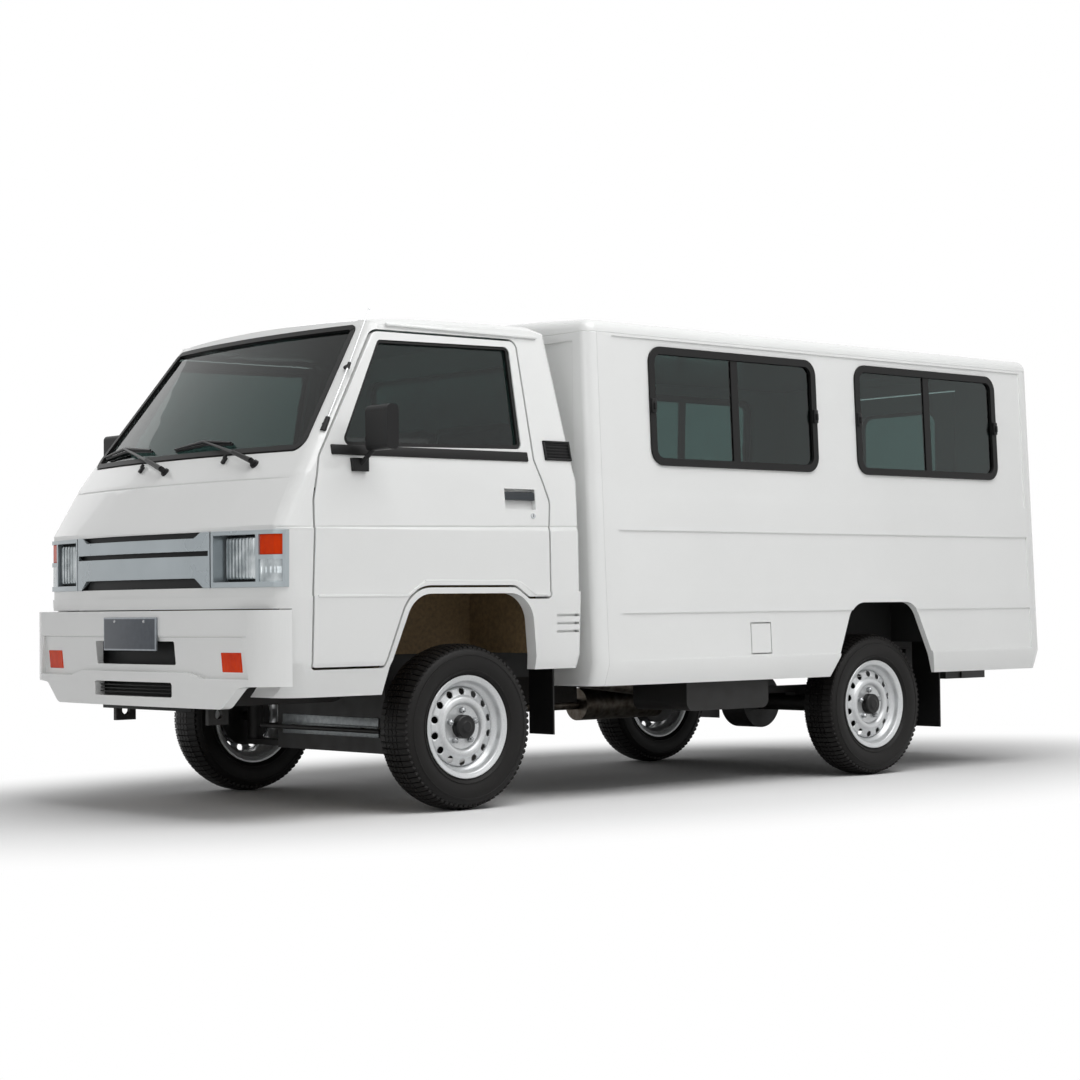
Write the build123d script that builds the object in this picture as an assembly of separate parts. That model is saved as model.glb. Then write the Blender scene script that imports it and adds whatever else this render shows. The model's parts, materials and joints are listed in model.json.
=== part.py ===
from build123d import *
import math
import os

# A light forward-control van: a steel cab and a separate windowed box body on one ladder frame.
# +X is forward, +Y left, +Z up. Everything is drawn with X counted from the front axle, and the
# finished pieces are shifted so that the origin is on the ground under the middle of the length.

# Driving dimensions, mm: lengths along the van
WHEELBASE = 2435
FRONT_OVERHANG = 1012
CAB_BACK = 575
CAB_BOX_GAP = 65
BOX_LENGTH = 2948
STEP_REACH = 175

# Wheels
TRACK_FRONT = 1448
TRACK_REAR = 1404
TYRE_RADIUS = 322
TYRE_WIDTH = 185
RIM_SEAT_RADIUS = 180
RIM_FLANGE = 20
RIM_WIDTH = 156
RIM_METAL = 6
HUB_RADIUS = 44
HUB_BACK = 18
SPINDLE_RADIUS = 20
SPINDLE_OUT = 46
VENT_HOLES = 14
VENT_HOLE_RADIUS = 14
KINGPIN_Y = 640
KINGPIN_RADIUS = 20
ARM_SPREAD = 105
RUNNING_GAP = 0.3

# Cab: heights of its creases, half widths there, and where its front stands
SILL_Z = 460
SILL_TURN_Z = 590
ARCH_CREASE_Z = 828
SIDE_CREASE_Z = 1080
HOOD_CREASE_Z = 1287
BELT_Z = 1365
RAIL_Z = 1865
CAB_TOP_Z = 1941
SILL_HALF = 792
CAB_HALF = 840
BELT_HALF = 797
RAIL_HALF = 688
NOSE_X = 992
COWL_X = 810
HEADER_X = 437
CAB_WALL = 50
CREASE_STEP = 6

# Cab openings
DOOR_GAP = 9
DOOR_FRONT_X = 766
DOOR_BACK_X = -408
DOOR_FRAME_BACK_X = -362
DOOR_BOTTOM_Z = 561
DOOR_REBATE = 12
HINGE_X = 690
HINGE_TILT = 0.025
HINGE_PIN_RADIUS = 4
HINGE_HEIGHTS = (700, 1200)
GLASS = 5
DOOR_PANE_IN = 18
DOOR_PANE_CORNER = 25
BACK_PANE_IN = 20
BACK_PANE_CORNER = 60
SCREEN_IN = 10
REAR_SILL_RISE = 76
FLOOR_PLATE = 30
FOOTWELL_Z = 560
DECK_Z = 880

# Box body
BOX_BOTTOM_Z = 458
BOX_TURN_Z = 545
BOX_EDGE_Z = 1955
BOX_TOP_Z = 1985
BOX_HALF = 865
BOX_TUCK = 30
BOX_LEAN = 0.04
BOX_WALL = 35
BOX_CORNER = 50
BOX_ROOF_SEAM_Z = 1905
BOX_FLOOR_Z = 640
BOX_FLOOR_PLATE = 40
FIELD_DEPTH = 6
FIELD_BORDER = 138
FRONT_FIELD_HALF = 720
FRONT_FIELD_Z = (700, 1870)
WINDOW_HIGH = 1866
WINDOW_LOW = 1366
WINDOW_CORNER = 70
SEAL = 32
SEAL_PROUD = 3
SEAL_DEPTH = 24
SLIDE_BAR = 42
BAR_IN = 4
BAR_DEPTH = 20
PANE_IN = 9
REAR_DOOR_HALF = 380
REAR_DOOR_LOW = 500
REAR_DOOR_HIGH = 1850
REAR_GAP = 7
REAR_PANE_HALF = 250
REAR_PANE_LOW = 1330
REAR_PANE_HIGH = 1760
REAR_PANE_IN = 12

# Frame
RAIL_SPACING = 700
RAIL_WIDTH = 60
RAIL_DEPTH = 110

FRONT_AXLE_X = (STEP_REACH + BOX_LENGTH + CAB_BOX_GAP + CAB_BACK - FRONT_OVERHANG) / 2
BOX_FRONT_X = -CAB_BACK - CAB_BOX_GAP
BOX_REAR_X = BOX_FRONT_X - BOX_LENGTH
REAR_AXLE_X = -WHEELBASE
FAR = 3000


def prism(points, axis, start, depth, radius=0):
    """Closed outline of (u, v) or (u, v, corner radius) points, raised along X, Y or Z by depth."""
    place = {
        "x": lambda u, v: (start, u, v),
        "y": lambda u, v: (u, start, v),
        "z": lambda u, v: (u, v, start),
    }
    raised = {"x": (depth, 0, 0), "y": (0, depth, 0), "z": (0, 0, depth)}
    corners = [place[axis](*point[:2]) for point in points]
    rounding = [point[2] for point in points if len(point) > 2] or radius
    if rounding:
        edge = FilletPolyline(*corners, radius=rounding, close=True)
    else:
        edge = Polyline(*corners, close=True)
    return Solid.extrude(Face(Wire(edge.edges())), Vector(*raised[axis]))


def block(x_range, y_range, z_range):
    """Box between named limits."""
    size = [high - low for low, high in (x_range, y_range, z_range)]
    low = [low for low, high in (x_range, y_range, z_range)]
    return Pos(*low) * Box(*size, align=(Align.MIN, Align.MIN, Align.MIN))


def rod(start, end, radius):
    """Round bar from one point to another."""
    line = Vector(*end) - Vector(*start)
    return Solid.make_cylinder(radius, line.length, Plane(origin=start, z_dir=line))


def right_of(piece):
    """The same piece on the right side of the van."""
    return mirror(piece, about=Plane.XZ)


def turned(profile, x, y):
    """Solid turned about a wheel's axis: (radius, distance out) points, closed on the axis side."""
    points = [(radius, out, 0) for radius, out in profile]
    face = Face(Wire(Polyline(*points, close=True).edges()))
    ring = revolve(face, Axis.Y)
    return Pos(x, y, TYRE_RADIUS) * ring


# Cab shell: level outlines joined by straight-lined skins.
# Columns: height, nose x, corner back of the nose, corner in from the side, side starts back of
# the corner, half width, back x
CAB_LEVELS = [
    (SILL_Z, NOSE_X - 62, 95, 57, 90, SILL_HALF, -CAB_BACK + 15),
    (SILL_TURN_Z, NOSE_X - 17, 92, 54, 86, CAB_HALF - 8, -CAB_BACK + 3),
    (ARCH_CREASE_Z, NOSE_X, 97, 54, 86, CAB_HALF, -CAB_BACK),
    (SIDE_CREASE_Z, NOSE_X, 97, 53, 86, CAB_HALF - 2, -CAB_BACK),
    (SIDE_CREASE_Z + 12, NOSE_X - 7, 86, 52, 88, CAB_HALF - 2 - CREASE_STEP, -CAB_BACK - 2),
    (HOOD_CREASE_Z, COWL_X + 58, 80, 55, 46, BELT_HALF + 15, -CAB_BACK - 13),
    (BELT_Z, COWL_X, 75, 55, 45, BELT_HALF, -CAB_BACK),
    (RAIL_Z, HEADER_X, 54, 68, 46, RAIL_HALF, -CAB_BACK + 42),
]
OPEN_BELOW = 120
ABOVE_ROOF = 140
CORNER_NORMAL = (0.92, 0.4)
SIDE_NORMAL = 0.3
CORNER_BULGE = 0.14
BACK_CORNER = 35


def cab_level(row, inset):
    """One level outline of the cab, drawn in by inset."""
    z, nose, corner_back, corner_in, side_back, half, back = row
    corner = (nose - corner_back - CORNER_NORMAL[0] * inset, half - corner_in - CORNER_NORMAL[1] * inset)
    side = (nose - corner_back - side_back - SIDE_NORMAL * inset, half - inset)
    chord = (corner[0] - side[0], corner[1] - side[1])
    middle = (
        (corner[0] + side[0]) / 2 - chord[1] * CORNER_BULGE,
        (corner[1] + side[1]) / 2 + chord[0] * CORNER_BULGE,
    )
    rear = back + inset
    bend = BACK_CORNER * (1 - math.sqrt(0.5))
    left = [
        ThreePointArc((*corner, z), (*middle, z), (*side, z)),
        Line((*side, z), (rear + BACK_CORNER, half - inset, z)),
        ThreePointArc(
            (rear + BACK_CORNER, half - inset, z),
            (rear + bend, half - inset - bend, z),
            (rear, half - inset - BACK_CORNER, z),
        ),
    ]
    front = ThreePointArc((corner[0], -corner[1], z), (nose - inset, 0, z), (*corner, z))
    back_edge = Line((rear, half - inset - BACK_CORNER, z), (rear, BACK_CORNER + inset - half, z))
    right = [edge.mirror(Plane.XZ) for edge in left]
    return Wire([front, *left, back_edge, *right[::-1]])


# Cab roof: cross sections from the windscreen header to the back edge.
# Columns: x, drop of the middle below the highest point
ROOF_STATIONS = [
    (HEADER_X + 60, 56),
    (HEADER_X - 104, 23),
    (HEADER_X - 310, 9),
    (341 - CAB_BACK, 0),
    (118 - CAB_BACK, 0),
    (48 - CAB_BACK, 15),
    (-20 - CAB_BACK, 48),
]
CROWN_HALF = 590
CROWN_DROP = 20
SHOULDER_HALF = 720
SHOULDER_DROP = 88


def roof_station(x, drop, inset):
    """One cross section of the space under the roof skin."""
    top = CAB_TOP_Z - drop - inset
    edge = top - CROWN_DROP
    foot = top - SHOULDER_DROP
    low = SILL_Z - 2 * OPEN_BELOW
    bend_y = (CROWN_HALF + SHOULDER_HALF) / 2 + 20
    bend_z = (edge + foot) / 2 + 16
    return Wire([
        Line((x, -FAR, low), (x, FAR, low)),
        Line((x, FAR, low), (x, FAR, foot)),
        Line((x, FAR, foot), (x, SHOULDER_HALF, foot)),
        ThreePointArc((x, SHOULDER_HALF, foot), (x, bend_y, bend_z), (x, CROWN_HALF, edge)),
        ThreePointArc((x, CROWN_HALF, edge), (x, 0, top), (x, -CROWN_HALF, edge)),
        ThreePointArc((x, -CROWN_HALF, edge), (x, -bend_y, bend_z), (x, -SHOULDER_HALF, foot)),
        Line((x, -SHOULDER_HALF, foot), (x, -FAR, foot)),
        Line((x, -FAR, foot), (x, -FAR, low)),
    ])


def cab_hull(inset, open_below=0):
    """Solid inside the cab's skin, drawn in by inset on every side."""
    rows = list(CAB_LEVELS)
    if open_below:
        rows[0] = (SILL_Z - open_below, *rows[0][1:])
    lower, upper = rows[-2], rows[-1]
    share = ABOVE_ROOF / (upper[0] - lower[0])
    rows[-1] = tuple(high + (high - low) * share for low, high in zip(lower, upper))
    shell = Solid.make_loft([cab_level(row, inset) for row in rows], ruled=True)
    header_x, header_drop = ROOF_STATIONS[0]
    stations = [(header_x + FAR, header_drop), *ROOF_STATIONS]
    cap = Solid.make_loft([roof_station(x, drop, inset) for x, drop in stations], ruled=True)
    return shell & cap


# Outlines seen from the side, (x, z), each with the radius of its corner
ARCH_TOP_Z = ARCH_CREASE_Z + 10
ARCH_FRONT_X = 288
ARCH_FOOT_X = 401
ARCH_BACK_X = -300
ARCH_HEEL_X = -330
ARCH_LIP = 23
ARCH_POINTS = [
    (ARCH_FOOT_X + 29, SILL_Z - OPEN_BELOW, 10),
    (ARCH_FOOT_X, DOOR_BOTTOM_Z + 6, 60),
    (ARCH_FRONT_X, ARCH_TOP_Z, 120),
    (ARCH_BACK_X, ARCH_TOP_Z, 125),
    (ARCH_HEEL_X, DOOR_BOTTOM_Z, 60),
    (ARCH_HEEL_X - 15, SILL_Z - OPEN_BELOW, 10),
]
DOOR_POINTS = [
    (DOOR_FRONT_X, DOOR_BOTTOM_Z, 20),
    (DOOR_FRONT_X - 3, ARCH_CREASE_Z, 100),
    (DOOR_FRONT_X - 20, SIDE_CREASE_Z + 103, 100),
    (DOOR_FRONT_X - 62, BELT_Z - 16, 60),
    (HEADER_X - 72, RAIL_Z - 13, 50),
    (DOOR_FRAME_BACK_X, RAIL_Z - 6, 40),
    (DOOR_FRAME_BACK_X, BELT_Z + 4, 30),
    (DOOR_BACK_X - 15, SIDE_CREASE_Z + 120, 60),
    (DOOR_BACK_X, SIDE_CREASE_Z, 60),
    (DOOR_BACK_X, ARCH_TOP_Z - ARCH_LIP, 20),
    (ARCH_BACK_X + 14, ARCH_TOP_Z - ARCH_LIP, 25),
    (ARCH_BACK_X + 85, ARCH_TOP_Z + ARCH_LIP, 40),
    (ARCH_FRONT_X + 15, ARCH_TOP_Z + ARCH_LIP, 140),
    (ARCH_FOOT_X + ARCH_LIP, DOOR_BOTTOM_Z, 15),
]
# Raised lower body: its upper edge runs along the side and steps up over the arch
FLARE = 5
FLARE_STEP = 55
FLARE_POINTS = [
    (-FAR, 0),
    (-FAR, ARCH_CREASE_Z + 15),
    (ARCH_BACK_X - 6, ARCH_CREASE_Z + 15),
    (ARCH_BACK_X + 72, ARCH_CREASE_Z + FLARE_STEP),
    (ARCH_FRONT_X - 54, ARCH_CREASE_Z + FLARE_STEP),
    (ARCH_FRONT_X + 31, ARCH_CREASE_Z + 4),
    (FAR, ARCH_CREASE_Z + 4),
    (FAR, 0),
]
DOOR_GLASS_POINTS = [
    (HEADER_X - 92, RAIL_Z - 54),
    (DOOR_FRAME_BACK_X + 45, RAIL_Z - 40),
    (DOOR_FRAME_BACK_X + 60, BELT_Z + 44),
    (COWL_X - 219, BELT_Z + 25),
]
SIDE_IN = 300
SIDE_OUT = 700


def side_cut(points, grow=0, radius=0):
    """Cutter through the left side, its outline grown by grow."""
    cut = prism(points, "y", SIDE_IN, SIDE_OUT, radius)
    if not grow:
        return cut
    face = cut.faces().sort_by(Axis.Y)[0]
    wider = face.outer_wire().offset_2d(grow, Kind.INTERSECTION)
    return Solid.extrude(Face(wider), Vector(0, SIDE_OUT, 0))


def cab_side_y(z):
    """Half width of the cab's side at a height."""
    for low, high in zip(CAB_LEVELS, CAB_LEVELS[1:]):
        if low[0] <= z <= high[0]:
            share = (z - low[0]) / (high[0] - low[0])
            return low[5] + (high[5] - low[5]) * share
    return CAB_LEVELS[-1][5]


# Door hinges: the pin is held in a pocket of the door, the strap stands on the front panel.
HINGE_TOP_Y = cab_side_y(HINGE_HEIGHTS[1]) - 12
KNUCKLE_RADIUS = HINGE_PIN_RADIUS + 3
HINGE_HALF = 24
POCKET_CLEAR = 6
STRAP = 8
STRAP_REACH = DOOR_FRONT_X - HINGE_X + 14


def hinge_y(z):
    """Distance of the hinge line from the middle of the van at a height."""
    return HINGE_TOP_Y - HINGE_TILT * (z - HINGE_HEIGHTS[1])


def hinge_place(z):
    """Local frame on the hinge line."""
    tilt = math.degrees(math.atan(HINGE_TILT))
    return Pos(HINGE_X, hinge_y(z), z) * Rot(X=tilt)


def hinge_pocket(z):
    """Room for knuckle and strap inside the door."""
    half = HINGE_HALF + POCKET_CLEAR
    room = block((-KNUCKLE_RADIUS - 3, FAR / 10), (-FAR / 10, 3), (-half, half))
    return hinge_place(z) * (room + Cylinder(KNUCKLE_RADIUS + 1.5, 2 * half))


def hinge_pin(z):
    """Pin that stands in the pocket."""
    return hinge_place(z) * Cylinder(HINGE_PIN_RADIUS, 2 * (HINGE_HALF + POCKET_CLEAR) + 4)


def hinge_strap(z):
    """Knuckle with a goose-neck strap that goes round the door's front edge."""
    knuckle = Cylinder(KNUCKLE_RADIUS, 2 * HINGE_HALF)
    neck = block((-STRAP / 2, STRAP / 2), (-STRAP_REACH - STRAP, 0), (-HINGE_HALF, HINGE_HALF))
    arm = block((-STRAP / 2, FAR / 10), (-STRAP_REACH - STRAP, -STRAP_REACH), (-HINGE_HALF, HINGE_HALF))
    bore = Cylinder(HINGE_PIN_RADIUS + RUNNING_GAP, FAR)
    return hinge_place(z) * (knuckle + neck + arm - bore)


# Windscreen outline seen from the front, (y, z)
SCREEN_POINTS = [
    (BELT_HALF - 55, BELT_Z + 4),
    (RAIL_HALF - 69, RAIL_Z + 3),
    (69 - RAIL_HALF, RAIL_Z + 3),
    (55 - BELT_HALF, BELT_Z + 4),
]
SCREEN_CORNER = 40
PILLAR_SEAM_Z = BELT_Z + 6
SCREEN_BACK_X = 150


def front_cut(points, shrink=0, radius=0):
    """Cutter through the front of the cab, its outline drawn in by shrink."""
    cut = prism(points, "x", SCREEN_BACK_X, FAR, radius)
    if not shrink:
        return cut
    face = cut.faces().sort_by(Axis.X)[0]
    smaller = face.outer_wire().offset_2d(-shrink, Kind.INTERSECTION)
    return Solid.extrude(Face(smaller), Vector(FAR, 0, 0))


# Face of the cab: a band for grille and lamps
BAND_LOW_Z = 866
BAND_HIGH_Z = 1074
BAND_HALF = 827
BAND_BACK = 190
BAND_END = 10
BAND_POINTS = [
    (BAND_HALF, BAND_LOW_Z), (BAND_HALF, BAND_HIGH_Z), (-BAND_HALF, BAND_HIGH_Z), (-BAND_HALF, BAND_LOW_Z),
]
LAMP_LOW_Z = 886
LAMP_HIGH_Z = 1059
LAMP_IN = 494
LAMP_OUT = 709
CORNER_LAMP_IN = 724
CORNER_LAMP_OUT = 820
AMBER_LOW_Z = 984
CLEAR_HIGH_Z = 967
GRILLE_PROUD = 8
GRILLE_DEPTH = CAB_WALL - 2
HEADLAMP_IN = 78
HEADLAMP_BACK = 102
SLEEVE = 7
LAMP_PROUD = 3
GRILLE_POCKETS = [
    # half width below, low z, half width above, high z
    (387, 1052, 435, BAND_HIGH_Z + 5),
    (466, 985, 466, 1004),
    (446, BAND_LOW_Z - 5, 390, 903),
]
POCKET_DEPTH = 14
BEZEL_GAP = (475, 481)

# Bumper: plan seen from above, and outlines seen from the front, (y, z)
BUMPER_HALF = 840
BUMPER_TOP_Z = 783
BUMPER_LOW_Z = 505
BUMPER_WALL = 42
BUMPER_BEND_Y = 735
BUMPER_BEND_BACK = 30
BUMPER_END_BACK = 159
BUMPER_GAP = 4
CORNER_SAGITTA = 0.207
LEDGE_Z = 683
LEDGE_HALF = 712
LIP_Z = 532
LIP_HALF = 745
RECESS_AT_LEDGE = 6
RECESS_AT_LIP = 22
RECESS_POINTS = [
    (LEDGE_HALF, LEDGE_Z), (LIP_HALF, LIP_Z), (465, LIP_Z), (385, LIP_Z + 20),
    (-385, LIP_Z + 20), (-465, LIP_Z), (-LIP_HALF, LIP_Z), (-LEDGE_HALF, LEDGE_Z),
]
APRON_LOW_Z = 420
APRON_INSET = 2
APRON_POINTS = [
    (735, BUMPER_LOW_Z, 0), (685, 500, 40), (590, APRON_LOW_Z, 60),
    (-590, APRON_LOW_Z, 60), (-685, 500, 40), (-735, BUMPER_LOW_Z, 0),
]
AIR_SLOTS = [
    # half width, low z, high z
    (283, 579, 668),
    (276, 457, 513),
]
SLOT_CORNER = 8
BUMPER_LAMP_Y = (573, 690)
BUMPER_LAMP_Z = (556, 628)
BUMPER_LAMP_DEPTH = 34
BRACKET_HEIGHT = 60


def bumper_edge(inset, z):
    """Plan outline of the bumper at a height, drawn in by inset."""
    front = FRONT_OVERHANG - inset
    bend = (front - BUMPER_BEND_BACK, BUMPER_BEND_Y - inset / 3)
    end = (FRONT_OVERHANG - BUMPER_END_BACK, BUMPER_HALF - inset)
    chord = (end[0] - bend[0], end[1] - bend[1])
    middle = (
        (bend[0] + end[0]) / 2 + chord[1] * CORNER_SAGITTA,
        (bend[1] + end[1]) / 2 - chord[0] * CORNER_SAGITTA,
    )
    back = end[0] - BUMPER_WALL
    left = [
        ThreePointArc((*bend, z), (*middle, z), (*end, z)),
        Line((*end, z), (back, end[1], z)),
    ]
    nose = ThreePointArc((bend[0], -bend[1], z), (front, 0, z), (*bend, z))
    closing = Line((back, end[1], z), (back, -end[1], z))
    right = [edge.mirror(Plane.XZ) for edge in left]
    return Wire([nose, *left, closing, *right[::-1]])


def bumper_plan(inset, low, high):
    """Solid inside the bumper's plan outline."""
    return Solid.extrude(Face(bumper_edge(inset, low)), Vector(0, 0, high - low))


def recess_core(proud=0):
    """Solid behind the leaning face under the bumper's ledge."""
    lower = bumper_edge(RECESS_AT_LIP - proud, LIP_Z - 10)
    upper = bumper_edge(RECESS_AT_LEDGE - proud, LEDGE_Z + 10)
    return Solid.make_loft([lower, upper], ruled=True)


def front_bumper():
    """Wrap-round bumper with a ledge, an apron, air slots and two brackets to the frame."""
    shell = bumper_plan(0, BUMPER_LOW_Z, BUMPER_TOP_Z) - bumper_plan(BUMPER_WALL, 0, FAR)
    shell -= block((-FAR, FRONT_OVERHANG - BUMPER_END_BACK), (-FAR, FAR), (0, FAR))
    shell -= prism(RECESS_POINTS, "x", 0, FAR) - recess_core()
    apron = bumper_plan(APRON_INSET, APRON_LOW_Z, BUMPER_LOW_Z) - bumper_plan(BUMPER_WALL, 0, FAR)
    bumper = shell + (apron & prism(APRON_POINTS, "x", 0, FAR))
    for half, low, high in AIR_SLOTS:
        slot = [(half, low), (half, high), (-half, high), (-half, low)]
        bumper -= prism(slot, "x", 0, FAR, SLOT_CORNER)
    bumper -= lamp_pocket()
    bumper -= right_of(lamp_pocket())
    rail = RAIL_SPACING / 2
    bracket = block(
        (RAIL_FRONT_X, FRONT_OVERHANG - BUMPER_WALL),
        (rail - RAIL_WIDTH / 2, rail + RAIL_WIDTH / 2),
        (FRONT_RAIL_TOP_Z - BRACKET_HEIGHT, FRONT_RAIL_TOP_Z),
    )
    return bumper + bracket + right_of(bracket)


def lamp_pocket():
    """Place of the left amber lamp in the bumper's face."""
    return block((0, FAR), BUMPER_LAMP_Y, BUMPER_LAMP_Z) - bumper_plan(BUMPER_LAMP_DEPTH, 0, FAR)


def bumper_lamps():
    """Amber lamps, a little proud of the bumper's leaning face."""
    lamp = lamp_pocket() & recess_core(LAMP_PROUD)
    return [lamp, right_of(lamp)]


# Frame rails, (x, z) of the left one
RAIL_FRONT_X = 900
FRONT_RAIL_TOP_Z = FOOTWELL_Z - FLOOR_PLATE
REAR_RAIL_TOP_Z = BOX_FLOOR_Z - BOX_FLOOR_PLATE
RAIL_END_X = BOX_REAR_X + BOX_WALL + 10
CROSS_MEMBERS_X = (820, -CAB_BACK - 765, REAR_AXLE_X + 330, REAR_AXLE_X - 420, RAIL_END_X + 40)
RAIL_KINK = (330, 130)
CROSS_HALF = 40
CROSS_HEIGHT = 80
CROSS_DROP = 15
TOW_EYE_RADIUS = 18
TOW_EYE_X = RAIL_FRONT_X - 60
TOW_EYE_HALF = 45
TOW_EYE_DROP = 30
TOW_EYE_PLATE = 20


def chassis_frame():
    """Two kinked rails, each with a tow eye, and the cross members set between them."""
    top = [
        (RAIL_FRONT_X, FRONT_RAIL_TOP_Z), (RAIL_KINK[0], FRONT_RAIL_TOP_Z),
        (RAIL_KINK[1], REAR_RAIL_TOP_Z), (RAIL_END_X, REAR_RAIL_TOP_Z),
    ]
    under = [(x, z - RAIL_DEPTH) for x, z in reversed(top)]
    rail_y = RAIL_SPACING / 2 - RAIL_WIDTH / 2
    rail = prism(top + under, "y", rail_y, RAIL_WIDTH)
    eye_z = FRONT_RAIL_TOP_Z - RAIL_DEPTH - TOW_EYE_DROP
    eye = block(
        (TOW_EYE_X - TOW_EYE_HALF, TOW_EYE_X + TOW_EYE_HALF), (rail_y, rail_y + TOW_EYE_PLATE),
        (eye_z - TOW_EYE_RADIUS - 22, eye_z + TOW_EYE_DROP),
    )
    rail += eye - rod((TOW_EYE_X, 0, eye_z), (TOW_EYE_X, FAR, eye_z), TOW_EYE_RADIUS)
    solids = [rail, right_of(rail)]
    reach = rail_y - RUNNING_GAP
    for x in CROSS_MEMBERS_X:
        high = (FRONT_RAIL_TOP_Z if x > RAIL_KINK[0] else REAR_RAIL_TOP_Z) - CROSS_DROP
        solids.append(block((x - CROSS_HALF, x + CROSS_HALF), (-reach, reach), (high - CROSS_HEIGHT, high)))
    return solids


ENGINE_FRONT_X = -90
ENGINE_BACK_X = 30 - CAB_BACK
ENGINE_HALF = 240
ENGINE_LOW_Z = 345
ENGINE_CLEAR = 20
GEARBOX_LENGTH = 640
GEARBOX_HALF = 130
GEARBOX_LOW_Z = 360
GEARBOX_BACK_X = ENGINE_BACK_X - GEARBOX_LENGTH
ENGINE_LUG = (120, 220, 50)
SHAFT_RADIUS = 38
SHAFT_FRONT_Z = 470
SHAFT_RISE = 12


def engine():
    """Engine under the seats with its gearbox, one plain block each, on lugs between the rails."""
    rail_in = RAIL_SPACING / 2 - RAIL_WIDTH / 2
    near, far, high = ENGINE_LUG
    lug_z = REAR_RAIL_TOP_Z - RAIL_DEPTH + 25
    motor = block(
        (ENGINE_BACK_X, ENGINE_FRONT_X), (-ENGINE_HALF, ENGINE_HALF),
        (ENGINE_LOW_Z, DECK_Z - FLOOR_PLATE - ENGINE_CLEAR),
    )
    gearbox = block(
        (GEARBOX_BACK_X, ENGINE_BACK_X), (-GEARBOX_HALF, GEARBOX_HALF),
        (GEARBOX_LOW_Z, REAR_RAIL_TOP_Z - ENGINE_CLEAR),
    )
    lug = block((ENGINE_BACK_X + near, ENGINE_BACK_X + far), (-rail_in, rail_in), (lug_z, lug_z + high))
    return motor + gearbox + lug


def propeller_shaft():
    """Shaft from gearbox to rear axle."""
    start = (GEARBOX_BACK_X - 6, 0, SHAFT_FRONT_Z)
    return rod(start, (REAR_AXLE_X + DIFF_RADIUS, 0, TYRE_RADIUS + SHAFT_RISE), SHAFT_RADIUS)


DRUM_RADIUS = 125
DRUM_IN = 70
DRUM_OUT = 15
AXLE_RADIUS = 42
DIFF_RADIUS = 128
DIFF_HALF = 75
DISC_IN = 15
DISC_OUT = 10
REAR_WHEEL_Y = TRACK_REAR / 2
FRONT_WHEEL_Y = TRACK_FRONT / 2


def rear_axle():
    """Axle tube with its differential, brake drums and spindles."""
    drum_in = REAR_WHEEL_Y - DRUM_IN
    tube_end = drum_in + 10
    axle = rod((REAR_AXLE_X, -tube_end, TYRE_RADIUS), (REAR_AXLE_X, tube_end, TYRE_RADIUS), AXLE_RADIUS)
    axle += rod((REAR_AXLE_X, -DIFF_HALF, TYRE_RADIUS), (REAR_AXLE_X, DIFF_HALF, TYRE_RADIUS), DIFF_RADIUS)
    for side in (1, -1):
        inner = (REAR_AXLE_X, side * drum_in, TYRE_RADIUS)
        outer = (REAR_AXLE_X, side * (REAR_WHEEL_Y + DRUM_OUT), TYRE_RADIUS)
        tip = (REAR_AXLE_X, side * (REAR_WHEEL_Y + SPINDLE_OUT - 1), TYRE_RADIUS)
        axle += rod(inner, outer, DRUM_RADIUS)
        axle += rod(inner, tip, SPINDLE_RADIUS)
    return axle


SPRING_Y = 480
SPRING_HALF = 600
SPRING_WIDTH = 60
LEAF = 15
LEAF_SHARES = (0.4, 0.7, 1.0)
SHACKLE = 50
SHACKLE_PIN = (100, 40)


def leaf_springs():
    """Leaf packs beside the rails with shackles to the frame, on the axle tube."""
    rail_face = RAIL_SPACING / 2 + RAIL_WIDTH / 2
    y = (SPRING_Y - SPRING_WIDTH / 2, SPRING_Y + SPRING_WIDTH / 2)
    seat = TYRE_RADIUS + AXLE_RADIUS + RUNNING_GAP
    pack = None
    for index, share in enumerate(LEAF_SHARES):
        reach = SPRING_HALF * share
        z = seat + index * LEAF
        leaf = block((REAR_AXLE_X - reach, REAR_AXLE_X + reach), y, (z, z + LEAF))
        pack = pack + leaf if pack else leaf
    top = seat + LEAF * (len(LEAF_SHARES) - 1)
    low, high = (REAR_RAIL_TOP_Z - drop for drop in SHACKLE_PIN)
    for x in (REAR_AXLE_X - SPRING_HALF, REAR_AXLE_X + SPRING_HALF - SHACKLE):
        pack += block((x, x + SHACKLE), y, (top, (low + high) / 2))
        pack += block((x, x + SHACKLE), (rail_face, y[1]), (low, high))
    return [pack, right_of(pack)]


ARM_HALF = 45
ARM_THICK = 24
ARM_EYE = 16
BEAM_HALF = 70


def front_suspension():
    """Cross member under the rails with an upper and a lower arm to each kingpin."""
    rail_face = RAIL_SPACING / 2 + RAIL_WIDTH / 2
    arms = (TYRE_RADIUS - ARM_SPREAD, TYRE_RADIUS + ARM_SPREAD)
    beam_half = rail_face - 10
    beam_z = (arms[0] - 15, REAR_RAIL_TOP_Z - RAIL_DEPTH)
    beam = block((-BEAM_HALF, BEAM_HALF), (-beam_half, beam_half), beam_z)
    for side in (1, -1):
        y = sorted((side * (rail_face - 30), side * (KINGPIN_Y - 10)))
        for z in arms:
            beam += block((-ARM_HALF, ARM_HALF), y, (z - ARM_THICK / 2, z + ARM_THICK / 2))
            beam += Pos(0, side * KINGPIN_Y, z) * Cylinder(KINGPIN_RADIUS + ARM_EYE, ARM_THICK)
        for z in arms:
            beam -= Pos(0, side * KINGPIN_Y, z) * Cylinder(KINGPIN_RADIUS + RUNNING_GAP, 4 * ARM_THICK)
    return beam


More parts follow.
